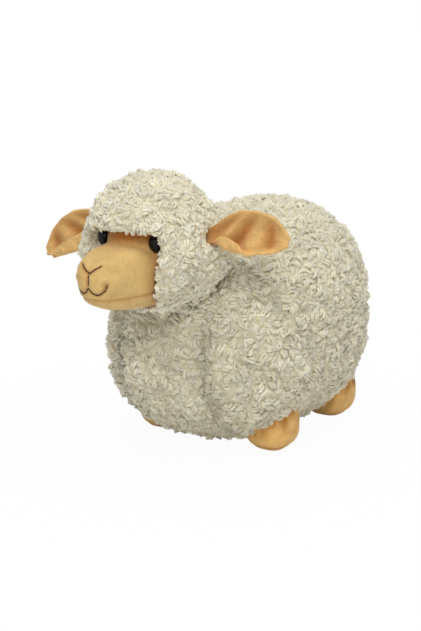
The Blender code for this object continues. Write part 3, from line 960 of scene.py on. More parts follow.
@dataclass
class FleecePanel:
    """One cut piece of fleece: its backing and the curls that stand on it."""

    name: str
    node: str
    body: Body
    core: Vector
    spacing: float = 0.0031
    curl_scale: float = 1.04
    voxel: float = 0.0020
    sink: float = 0.0020
    root_depth: float = 0.0018
    lump_size: float = 0.016
    lump_height: float = 0.0022
    fine_lump_size: float = 0.008
    fine_lump_height: float = 0.0010
    tuft_spacing: float = 0.0060
    tuft_radius: float = 0.0036
    tuft_height: float = 0.0011
    pile: Pile = Pile()
    seed: int = 1
    dents: tuple[Callable[[Array], Array], ...] = ()
    # Painted shade of the fleece from place to place, if any.
    shade: Callable[[Array], Array] | None = None
    blockers: tuple[str, ...] = ()
    clearance: float = 0.0014
    eye_clearance: float = 0.0024
    rise_height: float = 0.0020
    lowest: float = 0.0005
    outer_share: float = 0.35
    tries_per_root: int = 5
    bare: str = ""
    bare_reach: float = 0.009

    def backing(self) -> Piece:
        """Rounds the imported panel's edges and swells it in soft lumps.

        Returns:
            The backing, one closed form.
        """
        piece = rounded_copy(self.name, (self.node,), self.voxel, 6)
        points = read_points(piece)
        outward = directions(points, self.core)
        facing = np.clip((read_normals(piece) * outward).sum(1), 0, 1)
        rise = (self.lump_height * lumps(points, self.lump_size, 1)
                + self.fine_lump_height * lumps(points, self.fine_lump_size, 2) - self.sink)
        for dent in self.dents:
            rise = rise - dent(points)
        points += outward * (rise * facing)[:, None]
        points[:, 2] = np.maximum(points[:, 2], self.lowest)
        write_points(piece, points)
        return piece

    def roots(self, backing: Piece, draw: Draws) -> Roots:
        """Spreads roots evenly over the outside of the backing.

        Args:
            backing: The piece that the curls stand on.
            draw: Source of random numbers.

        Returns:
            The roots that no neighbour covers.
        """
        backing.data.calc_loop_triangles()
        corners = read_rows(backing.data.loop_triangles, "vertices", 3, np.int32)
        points = read_points(backing)
        normals = read_normals(backing)
        first, second, third = (points[corners[:, side]] for side in range(3))
        cross = np.cross(second - first, third - first)
        area = np.linalg.norm(cross, axis=1) / 2
        outward = directions((first + second + third) / 3, self.core)
        area = np.where((cross * outward).sum(1) > self.outer_share * 2 * area, area, 0)
        tries = int(area.sum() / self.spacing ** 2 * self.tries_per_root)
        chosen = draw.choice(len(area), tries, p=area / area.sum())
        share = draw.random((tries, 2))
        flip = share.sum(1) > 1
        share[flip] = 1 - share[flip]
        weights = np.stack([1 - share.sum(1), share[:, 0], share[:, 1]], 1)
        places, ways = (
            sum(values[corners[chosen, side]] * weights[:, side:side + 1] for side in range(3))
            for values in (points, normals)
        )
        ways /= np.linalg.norm(ways, axis=1)[:, None]
        trees = [(tree_of_node(node), self.eye_clearance if node.startswith("eye") else self.clearance)
                 for node in self.blockers]
        free = [index for index in self.thin_out(places, self.spacing)
                if not self.blocked(trees, Vector(places[index]), Vector(ways[index]))]
        return Roots(places[free], ways[free])

    def blocked(self, trees: list[tuple[BVHTree, float]], place: Vector, way: Vector) -> bool:
        """Says whether another piece stands where a curl would rise.

        Args:
            trees: Search trees of the pieces that may be in the way, each with the gap that it needs.
            place: The curl's root.
            way: The direction in which it rises.

        Returns:
            Whether the root or the curl's middle is near one of them.
        """
        middle = place + way * self.rise_height
        return any(tree.find_nearest(spot, gap)[0] for tree, gap in trees for spot in (place, middle))

    @staticmethod
    def thin_out(places: Array, spacing: float, nearest: float = 0.86) -> list[int]:
        """Keeps places that are about the spacing apart.

        Args:
            places: Places in random order.
            spacing: How far apart they are to be.
            nearest: Share of the spacing that two of them are apart at least.

        Returns:
            Indices of the places that stay.
        """
        tree = tree_of_points(places)
        gone = np.zeros(len(places), bool)
        kept = []
        for index, place in enumerate(places):
            if gone[index]:
                continue
            kept.append(index)
            for _, near, _ in tree.find_range(place, spacing * nearest):
                gone[near] = True
        return kept

    def tufts(self, places: Array) -> tuple[Array, Array, Array]:
        """Gathers roots into tufts.

        Args:
            places: The roots' places, in random order.

        Returns:
            For each root the number of its tuft, the way from the tuft's middle to it, and how near the
            middle it is.
        """
        centres = places[self.thin_out(places, self.tuft_spacing)]
        tree = tree_of_points(centres)
        number = np.array([tree.find(place)[1] for place in places])
        away = (places - centres[number]) / self.tuft_radius
        return number, away, 1 - np.clip(np.linalg.norm(away, axis=1), 0, 1) ** 2

    def leaning(self, places: Array) -> tuple[Array, Array]:
        """Finds how the roots stand to the bare piece beside this panel, if there is one.

        Args:
            places: The roots' places.

        Returns:
            For each root the way from that piece to it, and how near the piece is.
        """
        if not self.bare:
            return np.zeros_like(places), np.zeros(len(places))
        tree = tree_of_node(self.bare)
        away = np.array([Vector(place) - tree.find_nearest(Vector(place))[0] for place in places])
        gaps = np.linalg.norm(away, axis=1)
        return away / np.maximum(gaps, 1e-6)[:, None], np.clip(1 - gaps / self.bare_reach, 0, 1)

    def grow(self, roots: Roots, kinds: int, draw: Draws) -> Curls:
        """Sets a curl on every root, turned along a swirling nap.

        Args:
            roots: Where the curls stand.
            kinds: How many shapes of curl there are.
            draw: Source of random numbers.

        Returns:
            The curls.
        """
        pile = self.pile
        count = len(roots.places)
        tuft, away, core = self.tufts(roots.places)
        tuft_ways = draw.normal(0, 1, (tuft.max() + 1, 3))
        edge_way, edge = self.leaning(roots.places)
        swirls = [lumps(roots.places, pile.swirl_size, self.seed + part) for part in (1, 2, 3)]
        nap = pile.swirl * np.stack(swirls, 1)
        lean = np.array(pile.fall) + pile.tuft_lean * tuft_ways[tuft] + pile.tuft_spread * away
        nap += lean + pile.edge_lean * edge_way * edge[:, None]
        nap += draw.normal(0, pile.lean_scatter, (count, 3))
        nap -= roots.normals * (nap * roots.normals).sum(1)[:, None]
        nap /= np.maximum(np.linalg.norm(nap, axis=1), 1e-9)[:, None]
        turns = np.stack([nap, np.cross(roots.normals, nap), roots.normals], 2)
        outward = directions(roots.places, self.core)
        facing = (roots.normals * outward).sum(1)
        rim = np.clip(pile.rim_size + pile.rim_growth * facing, pile.rim_size, 1)
        swell = rim * (pile.tuft_edge_size + pile.tuft_growth * core) * (1 - pile.edge_shrink * edge)
        swell = swell * (1 - pile.flank_shrink * flank(roots.places))
        scales = self.curl_scale * swell * draw.uniform(*pile.sizes, count)
        places = roots.places + roots.normals * (self.tuft_height * core - self.root_depth)[:, None]
        # Painted light and shade: tuft middles and lump tops are lighter, the hollows between them darker;
        # the scatter terms are random tone.
        tones = pile.tone + pile.tuft_tone * core + draw.normal(0, pile.curl_tone_scatter, count)
        tones += draw.normal(0, pile.tuft_tone_scatter, tuft.max() + 1)[tuft]
        tones += pile.lump_tone * lumps(roots.places, self.lump_size, 1)
        # Painted shade in the creases, the neck hollows and under the chin.
        if self.shade:
            tones -= self.shade(roots.places)
        return Curls(places, turns, scales, tones, draw.integers(0, kinds, count), draw.random(count) < 0.5)

    def build(self, shapes: list[CurlShape], material: Material) -> None:
        """Builds the backing and its curls, in pieces with fewer faces than MOST_FACES.

        Args:
            shapes: The curls to choose from.
            material: The fleece.
        """
        draw = np.random.default_rng(self.seed)
        backing = self.backing()
        roots = self.roots(backing, draw)
        curls = self.grow(roots, len(shapes), draw)
        points = read_points(backing)
        # The backing takes the same painted shade as its curls.
        set_value(backing, "along", np.full(len(points), self.pile.backing_along))
        tones = np.full(len(points), self.pile.backing_tone)
        set_value(backing, "tone", tones - self.shade(points) if self.shade else tones)
        settle(backing, material, self.body, (self.node,) if self.node else ())
        faces_each = max(int((shape.sizes - 2).sum()) for shape in shapes)
        groups = math.ceil(len(roots.places) * faces_each / MOST_FACES)
        order = np.argsort(roots.places[:, 1])
        for number, chosen in enumerate(np.array_split(order, groups), 1):
            label = f"{self.name}_curls_{number}" if groups > 1 else f"{self.name}_curls"
            settle(curls.piece(label, shapes, chosen, self.lowest), material, self.body)
        LOG.info("%s: %d curls", self.name, len(roots.places))


@dataclass
class NeckBand(FleecePanel):
    """Band of fleece in the neck seam, which fills the gap that opens behind a turned or nodding head."""

    reach: float = 0.0060
    thickness: float = 0.0045
    least_facing: float = 0.3

    def backing(self) -> Piece:
        """Cuts the band from the head's outside, where it lies against the torso.

        Returns:
            The band, one closed form.
        """
        piece = rounded_copy(self.name, HEAD_FLEECE, self.voxel, 3)
        trees = [tree_of_node(node) for node in ("side_panel_left", "side_panel_right", "chest_panel")]
        points = read_points(piece)
        inside = (read_normals(piece) * directions(points, self.core)).sum(1) < self.least_facing
        far = [not any(tree.find_nearest(Vector(point), self.reach)[0] for tree in trees) for point in points]
        select_only(piece)
        bpy.ops.object.mode_set(mode="EDIT")
        bpy.ops.mesh.select_mode(type="VERT")
        bpy.ops.mesh.select_all(action="DESELECT")
        bpy.ops.object.mode_set(mode="OBJECT")
        piece.data.vertices.foreach_set("select", inside | np.array(far))
        bpy.ops.object.mode_set(mode="EDIT")
        bpy.ops.mesh.delete(type="VERT")
        bpy.ops.object.mode_set(mode="OBJECT")
        apply_modifier(piece, "SOLIDIFY", thickness=self.thickness, offset=0)
        return piece


@dataclass
class FleeceCoat:
    """All panels of the fleece, on the torso and on the head."""

    curls: CurlPattern = field(default_factory=CurlPattern)
    fleece: Fleece = field(default_factory=Fleece)
    seam_width: float = 0.0060
    seam_depth: float = 0.0050
    seam_fade: float = 2.4
    hollow_place: tuple[float, float, float] = (0.0575, 0.0520, -0.0205)
    hollow_width: float = 0.0165
    hollow_depth: float = 0.0060
    chin_place: tuple[float, float, float] = (0.012, -0.012, -0.062)
    chin_width: float = 0.026
    # Strength of the painted shade in the chest seams, the neck hollows and under the chin.
    seam_shade: float = 0.28
    hollow_shade: float = 0.55
    chin_shade: float = 0.16
    flank_depth: float = 0.0055
    cheek_way: tuple[float, float, float] = (0.80, 0.56, -0.20)
    cheek_closeness: int = 9
    cheek_swell: float = 0.0080
    eye_corner_width: float = 0.0150
    eye_corner_depth: float = 0.0035

    def chest_seam(self, points: Array) -> Array:
        """Depth of the crease along the seams between the chest and the sides.

        Args:
            points: Places, one row each.

        Returns:
            The depth at each point.
        """
        low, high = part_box("chest_panel")
        middle = (low.x + high.x) / 2
        half = (high.x - low.x) / 2
        from_seam = np.abs(np.abs(points[:, 0] - middle) - half)
        fade = np.clip((high.z - points[:, 2]) / (high.z - low.z) * self.seam_fade, 0, 1)
        front = points[:, 1] < high.y + self.seam_width
        return self.seam_depth * bump(from_seam, self.seam_width) * fade * front

    def neck_hollow(self, points: Array) -> Array:
        """Depth of the hollow in which the head's fleece meets the shoulders, under the ears."""
        places = [HEAD_CENTRE + mirrored(self.hollow_place, side) for side in Side]
        return self.hollow_depth * bumps(points, places, self.hollow_width)

    def shade(self, points: Array) -> Array:
        """Says how much painted shade the torso's fleece has in its seam creases, in the neck hollows under
        the ears and under the chin.

        Args:
            points: Places, one row each.

        Returns:
            The share at each point.
        """
        under_chin = bump(distances(points, HEAD_CENTRE + Vector(self.chin_place)), self.chin_width)
        seam = self.chest_seam(points) / self.seam_depth
        hollow = self.neck_hollow(points) / self.hollow_depth
        return self.seam_shade * seam + self.hollow_shade * hollow + self.chin_shade * under_chin

    def tucked_flank(self, points: Array) -> Array:
        """Depth by which the lower flanks are drawn in."""
        return self.flank_depth * flank(points)

    def full_cheeks(self, points: Array) -> Array:
        """Depth, less than nothing, by which the cheeks swell behind and below the ears.

        Args:
            points: Places, one row each.

        Returns:
            The depth at each point.
        """
        outward = directions(points, HEAD_CENTRE)
        ways = [np.array(mirrored(self.cheek_way, side).normalized()) for side in Side]
        swell = sum(np.clip(outward @ way, 0, 1) ** self.cheek_closeness for way in ways)
        return -self.cheek_swell * swell

    def eye_corner(self, points: Array) -> Array:
        """Depth by which the head's fleece is drawn in beside the eyes, so that velour shows round them."""
        places = [sum(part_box(f"eye_{side.label}"), Vector()) / 2 for side in Side]
        return self.eye_corner_depth * bumps(points, places, self.eye_corner_width)

    def panels(self) -> list[FleecePanel]:
        """Lists the panels with their places in the frame.

        Returns:
            The panels, in the order in which they are built.
        """
        low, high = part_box("torso_stuffing")
        feet = [f"{row}_{side.label}_foot_cover" for row in ("front", "rear") for side in Side]
        ears = [f"ear_{side.label}_{layer}" for side in Side for layer in ("front", "back")]
        under_torso = (*feet, *HEAD_FLEECE, "face_panel", "chin_panel", "neck_stuffing")
        under_head = ("side_panel_left", "side_panel_right", "chest_panel", "eye_left", "eye_right",
                      "face_panel", "chin_panel", *ears, "head_stuffing", "neck_stuffing", "torso_stuffing")
        made = []
        for seed, node in enumerate(TORSO_FLEECE, 1):
            made.append(FleecePanel(
                name=f"{node}_fleece", node=node, body=Body.TORSO, core=(low + high) / 2, seed=seed,
                blockers=under_torso, dents=(self.chest_seam, self.neck_hollow, self.tucked_flank),
                shade=self.shade,
            ))
        for seed, node in enumerate(HEAD_FLEECE, 11):
            crown = node == "crown_panel"
            made.append(FleecePanel(
                name=f"{node}_fleece", node=node, body=Body.HEAD, core=HEAD_CENTRE, seed=seed,
                blockers=under_head, dents=(self.full_cheeks, self.eye_corner),
                spacing=0.0027, curl_scale=0.9, voxel=0.0016, sink=0.0012,
                outer_share=-0.4 if crown else -0.7, clearance=0.0030 if crown else 0.0010,
                bare="face_panel" if crown else "",
            ))
        made.append(NeckBand(
            name="neck_seam_fleece", node="", body=Body.NECK, core=HEAD_CENTRE, seed=21,
            spacing=0.0032, curl_scale=1.1, voxel=0.0025,
        ))
        return made

    def build(self) -> None:
        """Builds every panel."""
        shapes = self.curls.model_all()
        material = self.fleece.material()
        for panel in self.panels():
            panel.build(shapes, material)


@dataclass
class VelourHead:
    """Velour head form whose front shows as the face, with puffed lips and sunk lines."""

    velour: Velour
    segments: int = 168
    ring_count: int = 132
    front_closeness: float = 1.35
    core_forward: float = 0.35
    core_drop: float = 0.008
    ray_length: float = 0.2
    smoothings: int = 22
    socket_radius: float = 0.0080
    socket_width: float = 0.0095
    socket_depth: float = 0.0012
    line_width: float = 0.0013
    line_depth: float = 0.0011
    mouth_share: float = 0.88
    lip_distance: float = 0.0042
    lip_width: float = 0.0030
    lip_puff: float = 0.0010
    chin_seam_width: float = 0.0012
    chin_depth: float = 0.0009
    pad_place: tuple[float, float] = (0.0095, -0.0070)
    pad_width: float = 0.0085
    pad_height: float = 0.0028
    soft_size: float = 0.012
    soft_height: float = 0.0004
    lip_fades: tuple[float, float] = (0.004, 0.003)
    # Painted shade on the velour: darker towards the brow under the crown, near the fleece's edge, in the
    # sunk lines, the chin seam and the sockets.
    brow_start: float = 0.002
    brow_fade: float = 0.010
    fleece_shadow: float = 0.0075
    front_start: float = 0.25
    front_steepness: float = 2.5
    line_shade: float = 0.75
    seam_shade: float = 0.55
    socket_shade: float = 0.30
    brow_shade: float = 0.80
    edge_shade: float = 0.50
    soft_shade: float = 0.12

    def lines(self) -> dict[str, list[tuple[float, float]]]:
        """Nose, lip and mouth lines as points across and up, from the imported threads.

        Returns:
            For each thread node, the points of its line.
        """
        half_nose = [(0.0, 0.0), (0.2, 0.14), (0.55, 0.55), (1.0, 1.0)]
        half_mouth = [(0.0, 0.62), (0.18, 0.24), (0.42, 0.0), (0.66, 0.08), (0.9, 0.46), (1.0, 1.0)]
        shares = {
            "nose_thread": self.whole_line(half_nose),
            "lip_thread": [(0.0, 1.0), (0.0, 0.66), (0.0, 0.33), (0.0, 0.0)],
            "mouth_thread": self.whole_line(half_mouth),
        }
        lines = {}
        for node, points in shares.items():
            low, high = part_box(node)
            middle = (low.x + high.x) / 2
            half = (high.x - low.x) / 2 * (self.mouth_share if node == "mouth_thread" else 1.0)
            lines[node] = [(middle + half * across, low.z + (high.z - low.z) * up) for across, up in points]
        return lines

    @staticmethod
    def whole_line(half: list[tuple[float, float]]) -> list[tuple[float, float]]:
        """Line whose left half, from the middle on, is given."""
        return [(-across, up) for across, up in half[:0:-1]] + half

    def drawn_form(self) -> Piece:
        """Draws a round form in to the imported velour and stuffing.

        Returns:
            The head's form, before its details.
        """
        target = copy_of_nodes("target", "face_panel", "chin_panel", "head_stuffing")
        tree = tree_of(target)
        low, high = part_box("face_panel")
        forward = (low.y - HEAD_CENTRE.y) * self.core_forward
        middle = Vector(((low.x + high.x) / 2, HEAD_CENTRE.y + forward, HEAD_CENTRE.z - self.core_drop))
        piece = add_shape(
            "velour_head", bpy.ops.mesh.primitive_uv_sphere_add,
            segments=self.segments, ring_count=self.ring_count, radius=1, rotation=(math.radians(90), 0, 0),
        )
        bpy.ops.object.transform_apply(location=True, rotation=True, scale=True)
        points = read_points(piece)
        for index, way in enumerate(points):
            polar = math.acos(max(-1.0, min(1.0, -way[1])))
            bent = math.pi * (polar / math.pi) ** self.front_closeness
            ring = math.hypot(way[0], way[2])
            around = (way[0] / ring, way[2] / ring) if ring > 1e-6 else (0, 0)
            ray = Vector((around[0] * math.sin(bent), -math.cos(bent), around[1] * math.sin(bent)))
            points[index] = tree.ray_cast(middle + ray * self.ray_length, -ray)[0]
        write_points(piece, points)
        self.close_sockets(piece)
        apply_modifier(piece, "SMOOTH", factor=0.5, iterations=self.smoothings)
        bpy.data.objects.remove(target)
        return piece

    def close_sockets(self, piece: Piece) -> None:
        """Lays the velour flat across the eyes' shank holes.

        Args:
            piece: The head's form.
        """
        points = read_points(piece)
        loose = np.zeros(len(points), bool)
        for side in Side:
            axis = np.array(eye_axis(side))
            offset = points - np.array(eye_seat(side))
            along = offset @ axis
            reach = np.linalg.norm(offset - np.outer(along, axis), axis=1)
            loose |= (reach < self.socket_radius) & (along > -2 * self.socket_radius)
        group = piece.vertex_groups.new(name="loose")
        group.add([int(index) for index in np.nonzero(loose)[0]], 1.0, "ADD")
        apply_modifier(piece, "SMOOTH", factor=0.9, iterations=120, vertex_group="loose")
        piece.vertex_groups.clear()

    def puff_pads(self, piece: Piece) -> Array:
        """Swells the two pads of the muzzle.

        Args:
            piece: The head's form.

        Returns:
            How much each point faces the front, from 0 to 1.
        """
        points = read_points(piece)
        normals = read_normals(piece)
        front = np.clip((-normals[:, 1] + self.front_start) * self.front_steepness, 0, 1)
        pads = np.zeros(len(points))
        for side in Side:
            across = points[:, 0] - (HEAD_CENTRE.x + side.value * self.pad_place[0])
            up = points[:, 2] - (HEAD_CENTRE.z + self.pad_place[1])
            pads = np.maximum(pads, bump(np.hypot(across, up), self.pad_width) * front)
        write_points(piece, points + normals * (self.pad_height * pads)[:, None])
        return front

    def sculpt(self, piece: Piece) -> None:
        """Sinks the drawn lines, puffs the lips and presses the sockets, and paints shade into the velour's
        colour.

        Args:
            piece: The head's form.
        """
        front = self.puff_pads(piece)
        points = read_points(piece)
        normals = read_normals(piece)
        height = points[:, 2]
        from_line = self.line_distance(points)
        sunk = bump(from_line, self.line_width) * front
        puffed = bump(from_line - self.lip_distance, self.lip_width) * front
        mouth_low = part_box("mouth_thread")[0].z
        nose_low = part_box("nose_thread")[0].z
        above, below = self.lip_fades
        upper_lip = np.clip((height - mouth_low) / above, 0, 1) * np.clip((nose_low - height) / below, 0, 1)
        seam = bump(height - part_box("face_panel")[0].z, self.chin_seam_width)
        socket = bumps(points, [eye_seat(side) for side in Side], self.socket_width)
        soft = lumps(points, self.soft_size, 3)
        rise = (self.soft_height * soft - self.line_depth * sunk + self.lip_puff * puffed * upper_lip
                - self.chin_depth * seam - self.socket_depth * socket)
        write_points(piece, points + normals * rise[:, None])
        # Painted shade: the brow, the velour near the fleece, the sunk lines, the chin seam and the sockets
        # are darkened, with soft random lumps.
        brow = np.clip((height - (HEAD_CENTRE.z + self.brow_start)) / self.brow_fade, 0, 1)
        trees = [tree_of_node(node) for node in HEAD_FLEECE]
        gaps = np.array([min(tree.find_nearest(Vector(point))[3] for tree in trees) for point in points])
        edge = bump(gaps, self.fleece_shadow)
        pressed = (self.line_shade * sunk + self.seam_shade * seam + self.socket_shade * socket
                   + self.brow_shade * brow + self.edge_shade * edge + self.soft_shade * soft)
        set_value(piece, "pressed", np.clip(pressed, 0, 1))

    def line_distance(self, points: Array) -> Array:
        """Distance of each point from the nearest drawn line, seen from the front.

        Args:
            points: Places, one row each.

        Returns:
            One distance for each point.
        """
        flat = points[:, [0, 2]]
        nearest = np.full(len(points), 1.0)
        for line in self.lines().values():
            for start, end in zip(line, line[1:]):
                first, step = np.array(start), np.array(end) - np.array(start)
                share = np.clip(((flat - first) @ step) / (step @ step), 0, 1)
                nearest = np.minimum(nearest, np.linalg.norm(flat - first - np.outer(share, step), axis=1))
        return nearest

    def build(self) -> Piece:
        """Builds the velour head.

        Returns:
            The finished piece.
        """
        piece = self.drawn_form()
        self.sculpt(piece)
        nodes = ("face_panel", "chin_panel", "head_stuffing")
        settle(piece, self.velour.material(), Body.HEAD, nodes)
        return piece


def own_points(node: str) -> Array:
    """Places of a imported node's vertices, each place once."""
    return np.unique(np.round(read_points(frame["nodes"][node]), 6), axis=0)


def eye_axis(side: Side) -> Vector:
    """Direction in which an eye looks, from the middle of its washer to the middle of its own points."""
    washer = own_points(f"eye_washer_{side.label}").mean(0)
    return Vector(own_points(f"eye_{side.label}").mean(0) - washer).normalized()


def eye_seat(side: Side, height: float = 0.0060) -> Vector:
    """Finds where an eye's axis meets the velour.

    Args:
        side: The eye's side.
        height: Height of the eye's dome over the velour.

    Returns:
        The place under the dome.
    """
    axis = eye_axis(side)
    points = own_points(f"eye_{side.label}")
    middle = Vector(points.mean(0))
    top = float((points @ np.array(axis)).max())
    return middle + axis * (top - height - middle.dot(axis))


@dataclass
class Eye:
    """Domed safety eye with a rounded rim."""

    side: Side
    diameter: float = 0.0150
    height: float = 0.0060
    below_middle: float = 0.08
    rim_radius: float = 0.0004
    segments: int = 48

    def build(self, material: Material) -> None:
        """Shapes a ball into the dome and seats it.

        Args:
            material: The eye's plastic.
        """
        radius = self.diameter / 2
        piece = add_shape(
            f"eye_{self.side.label}_dome", bpy.ops.mesh.primitive_uv_sphere_add,
            segments=self.segments, ring_count=self.segments // 2, radius=radius,
        )
        cut = (0, 0, -self.diameter * self.below_middle)
        edit_all(
            lambda: bpy.ops.mesh.bisect(plane_co=cut, plane_no=(0, 0, 1), use_fill=True, clear_inner=True),
            lambda: bpy.ops.transform.resize(value=(1, 1, self.height / radius)),
        )
        turn = eye_axis(self.side).to_track_quat("Z", "X").to_matrix().to_4x4()
        piece.data.transform(Matrix.Translation(eye_seat(self.side)) @ turn)
        apply_modifier(piece, "BEVEL", width=self.rim_radius, segments=3, limit_method="ANGLE")
        settle(piece, material, Body.HEAD, (f"eye_{self.side.label}",))


@dataclass
class Embroidery:
    """Back-stitched line that lies sunk in the velour."""

    node: str
    line: list[tuple[float, float]]
    stitch_length: float = 0.0034
    thickness: float = 0.00105
    lift: float = 0.00015
    dip: float = 0.0006
    overlap: float = 0.03
    least_radius: float = 0.55
    steps_between: int = 8
    steps_per_stitch: int = 10

    def route(self, tree: BVHTree) -> list[Vector]:
        """Lays the line on the velour as close points.

        Args:
            tree: Search tree of the velour head.

        Returns:
            Points on the velour.
        """
        smooth = []
        ends = [self.line[0], *self.line, self.line[-1]]
        for before, start, end, after in zip(ends, ends[1:], ends[2:], ends[3:]):
            for step in range(self.steps_between):
                share = step / self.steps_between
                smooth.append([
                    0.5 * (2 * b + (c - a) * share + (2 * a - 5 * b + 4 * c - d) * share ** 2
                           + (3 * b - a - 3 * c + d) * share ** 3)
                    for a, b, c, d in zip(before, start, end, after)
                ])
        smooth.append(self.line[-1])
        in_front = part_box(self.node)[0].y - 0.05
        placed = []
        for across, up in smooth:
            place, normal, _, _ = tree.ray_cast(Vector((across, in_front, up)), Vector((0, 1, 0)))
            placed.append(place + normal * self.lift)
        return placed

    def build(self, tree: BVHTree, material: Material) -> None:
        """Sews the line in stitches that dip into the velour at their ends.

        Args:
            tree: Search tree of the velour head.
            material: The thread.
        """
        route = self.route(tree)
        lengths = [0.0]
        for start, end in zip(route, route[1:]):
            lengths.append(lengths[-1] + (end - start).length)
        count = max(1, round(lengths[-1] / self.stitch_length))
        data = bpy.data.curves.new(self.node, "CURVE")
        data.dimensions = "3D"
        data.bevel_depth = self.thickness / 2
        data.bevel_resolution = 2
        data.use_fill_caps = True
        for stitch in range(count):
            spline = data.splines.new("POLY")
            spline.points.add(self.steps_per_stitch)
            for number, point in enumerate(spline.points):
                share = number / self.steps_per_stitch
                wanted = stitch + share * (1 + 2 * self.overlap) - self.overlap
                place = self.at(route, lengths, lengths[-1] * wanted / count)
                inward = (HEAD_CENTRE - place).normalized()
                arch = math.sin(math.pi * share) ** 0.5
                point.co = (*(place + inward * self.dip * (1 - arch)), 1)
                point.radius = self.least_radius + (1 - self.least_radius) * arch
        piece = mesh_of_curve(f"{self.node}_stitches", data)
        settle(piece, material, Body.HEAD, (self.node,))

    @staticmethod
    def at(route: list[Vector], lengths: list[float], wanted: float) -> Vector:
        """Finds the point of the route at a length along it.

        Args:
            route: Points of the route.
            lengths: Length of the route up to each of its points.
            wanted: The length that is looked for.

        Returns:
            The point.
        """
        wanted = min(max(wanted, 0.0), lengths[-1])
        for number, (start, end) in enumerate(zip(lengths, lengths[1:])):
            if wanted <= end:
                share = (wanted - start) / max(end - start, 1e-9)
                return route[number].lerp(route[number + 1], share)
        return route[-1]


@dataclass(frozen=True)
class Profile:
    """Size that changes along a length, eased between the stations at which it is given."""

    stations: tuple[tuple[float, float], ...]
    easing: float = 0.06

    def at(self, share: float) -> float:
        """Size at a share of the length.

        Args:
            share: Share of the length from its start.

        Returns:
            The eased size.
        """
        near = share + np.linspace(-self.easing, self.easing, 9)
        return float(np.interp(near, *zip(*self.stations)).mean())


